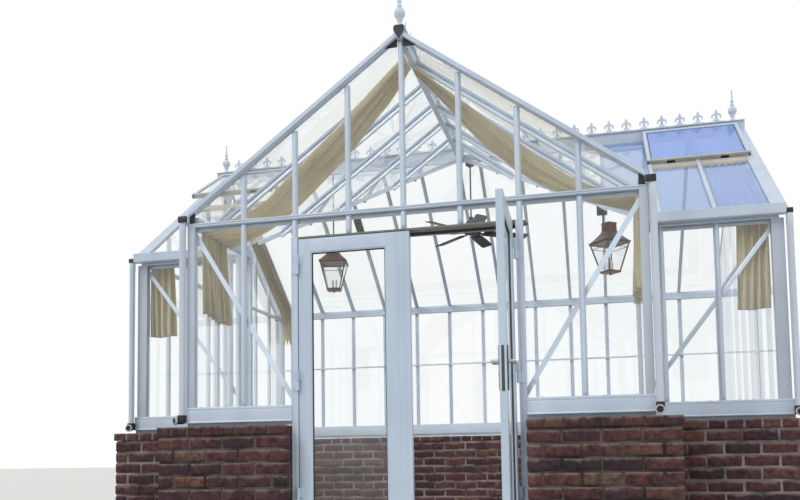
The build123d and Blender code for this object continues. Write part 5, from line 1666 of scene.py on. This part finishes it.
# two more cloths, each along a line of points under its slope; the rolled one ends hanging plumb
roofCloth = {"x": (1997, 2329), "y": (932, 1300, 1742), "drop": 38, "flat": 385.0, "folds": 6,
             "sag": 12.0, "phase": 0.7}
rolledCloth = {"x": (-2322, -2186), "y": (2560, 3200, 3760), "drop": 62, "flat": 500.0, "folds": 4,
               "sag": 18.0, "phase": 1.3, "tail": [(3796, 2140), (3796, 1925)]}
for name, one, look, held in (("right_roof_cloth", roofCloth, "paleCloth", "hung"),
                              ("rolled_rear_cloth", rolledCloth, "cloth", "gathered")):
    line = [underSlope(y, one["drop"]) for y in one["y"]] + one.get("tail", [])
    clothSheet(name, slopeGrid(*one["x"], line, one["flat"], one["folds"], one["sag"],
                               one["phase"]), look)
print("shade cloths hung")

glazing = {
    "porch_wall_glass": "wallGlass", "main_wall_glass": "wallGlass",
    "left_door_glass": "wallGlass", "right_door_glass": "wallGlass",
    "porch_roof_glass": "wallGlass", "main_roof_glass": "wallGlass", "roof_vent_glass": "ventGlass",
}
for node, look in glazing.items():
    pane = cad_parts[node]
    pane.data.materials.clear()
    pane.data.materials.append(finish[look])
    pane.visible_shadow = False
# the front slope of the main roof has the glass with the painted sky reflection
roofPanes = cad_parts["main_roof_glass"].data
roofPanes.materials.append(finish["roofGlass"])
for face in roofPanes.polygons:
    face.material_index = int(face.center.y * 1000 < ridgeY)
lanternPanes.visible_shadow = False
print("glass set")

studio = {"floor": "#eceae6", "backdrop": "#ffffff", "fill": 0.56, "key": 1.2, "side": 0.54,
          "reach": 60.0}
world = bpy.data.worlds.new("studio")
bpy.context.scene.world = world
world.use_nodes = True
sky = world.node_tree
sky.nodes.clear()
# a camera ray, a mirrored ray or one through glass sees the backdrop; all others get soft light
ray = addNode(sky, "LightPath")
direct = addNode(sky, "Math", {0: ray.outputs["Is Camera Ray"], 1: ray.outputs["Is Glossy Ray"]},
                 operation="MAXIMUM")
seen = addNode(sky, "Math", {0: direct, 1: ray.outputs["Is Transmission Ray"]},
               operation="MAXIMUM")
soft = addNode(sky, "Background", {"Color": colour("#f6f8fb"), "Strength": studio["fill"]})
white = addNode(sky, "Background", {"Color": colour(studio["backdrop"]), "Strength": 1.0})
either = addNode(sky, "MixShader", {0: seen, 1: soft, 2: white})
addNode(sky, "OutputWorld", {"Surface": either})


def turnedTo(side, up, ahead, place=(0, 0, 0)):
    # a matrix whose X, Y and Z columns are side, up and the reverse of ahead
    return Matrix([[side[i], up[i], -ahead[i], place[i]] for i in range(3)] + [[0, 0, 0, 1]])


def softSun(name, strength, spread, towards):
    lamp = bpy.data.lights.new(name, "SUN")
    lamp.energy = strength
    lamp.angle = math.radians(spread)
    holder = bpy.data.objects.new(name, lamp)
    bpy.context.scene.collection.objects.link(holder)
    ahead = np.array(towards) / np.linalg.norm(towards)
    side = np.cross(ahead, (0, 0, 1))
    side /= np.linalg.norm(side)
    holder.matrix_world = turnedTo(side, np.cross(side, ahead), ahead)


softSun("key_lamp", studio["key"], 28, (0.55, 0.75, -0.95))
softSun("side_lamp", studio["side"], 40, (-0.85, 0.35, -0.5))

floorMaterial, floorTree = startMaterial("pale_studio_floor")[:2]
floorShader = addNode(floorTree, "BsdfPrincipled", {
    "Base Color": colour(studio["floor"]), "Roughness": 0.85, "Specular IOR Level": 0.2})
addNode(floorTree, "OutputMaterial", {"Surface": floorShader})
floorMesh = bpy.data.meshes.new("studio_floor")
reach = studio["reach"]
floorMesh.from_pydata([(-reach, -reach, 0), (reach, -reach, 0), (reach, reach, 0),
                       (-reach, reach, 0)], [], [(0, 1, 2, 3)])
floorMesh.materials.append(floorMaterial)
floor = bpy.data.objects.new("studio_floor", floorMesh)
bpy.context.scene.collection.objects.link(floor)

# solved from bars, ridges and wall ends measured on the picture, for a frame of 800 by 500
view = {"place": (1.19922, -5.10626, 0.585), "yaw": -0.238595, "pitch": 0.0723505,
        "roll": -0.0150791, "focal": 838.2231, "centreX": 400.0, "centreY": 395.5613,
        "width": 800.0, "height": 500.0, "sensor": 36.0}
yaw, pitch, roll = view["yaw"], view["pitch"], view["roll"]
ahead = np.array([math.sin(yaw) * math.cos(pitch), math.cos(yaw) * math.cos(pitch),
                  math.sin(pitch)])
right = np.array([math.cos(yaw), -math.sin(yaw), 0.0])
above = np.cross(right, ahead)
right, above = (math.cos(roll) * right + math.sin(roll) * above,
                -math.sin(roll) * right + math.cos(roll) * above)
lens = bpy.data.cameras.new("photo_view")
lens.sensor_width = view["sensor"]
lens.sensor_fit = "HORIZONTAL"
lens.lens = view["sensor"] * view["focal"] / view["width"]
lens.shift_x = (view["width"] / 2 - view["centreX"]) / view["width"]
lens.shift_y = (view["centreY"] - view["height"] / 2) / view["width"]
lens.clip_end = 200.0
cameraObject = bpy.data.objects.new("photo_view", lens)
bpy.context.scene.collection.objects.link(cameraObject)
cameraObject.matrix_world = turnedTo(right, above, ahead, view["place"])
bpy.context.scene.camera = cameraObject
bpy.context.scene.view_settings.view_transform = "Standard"
print("camera and light set")
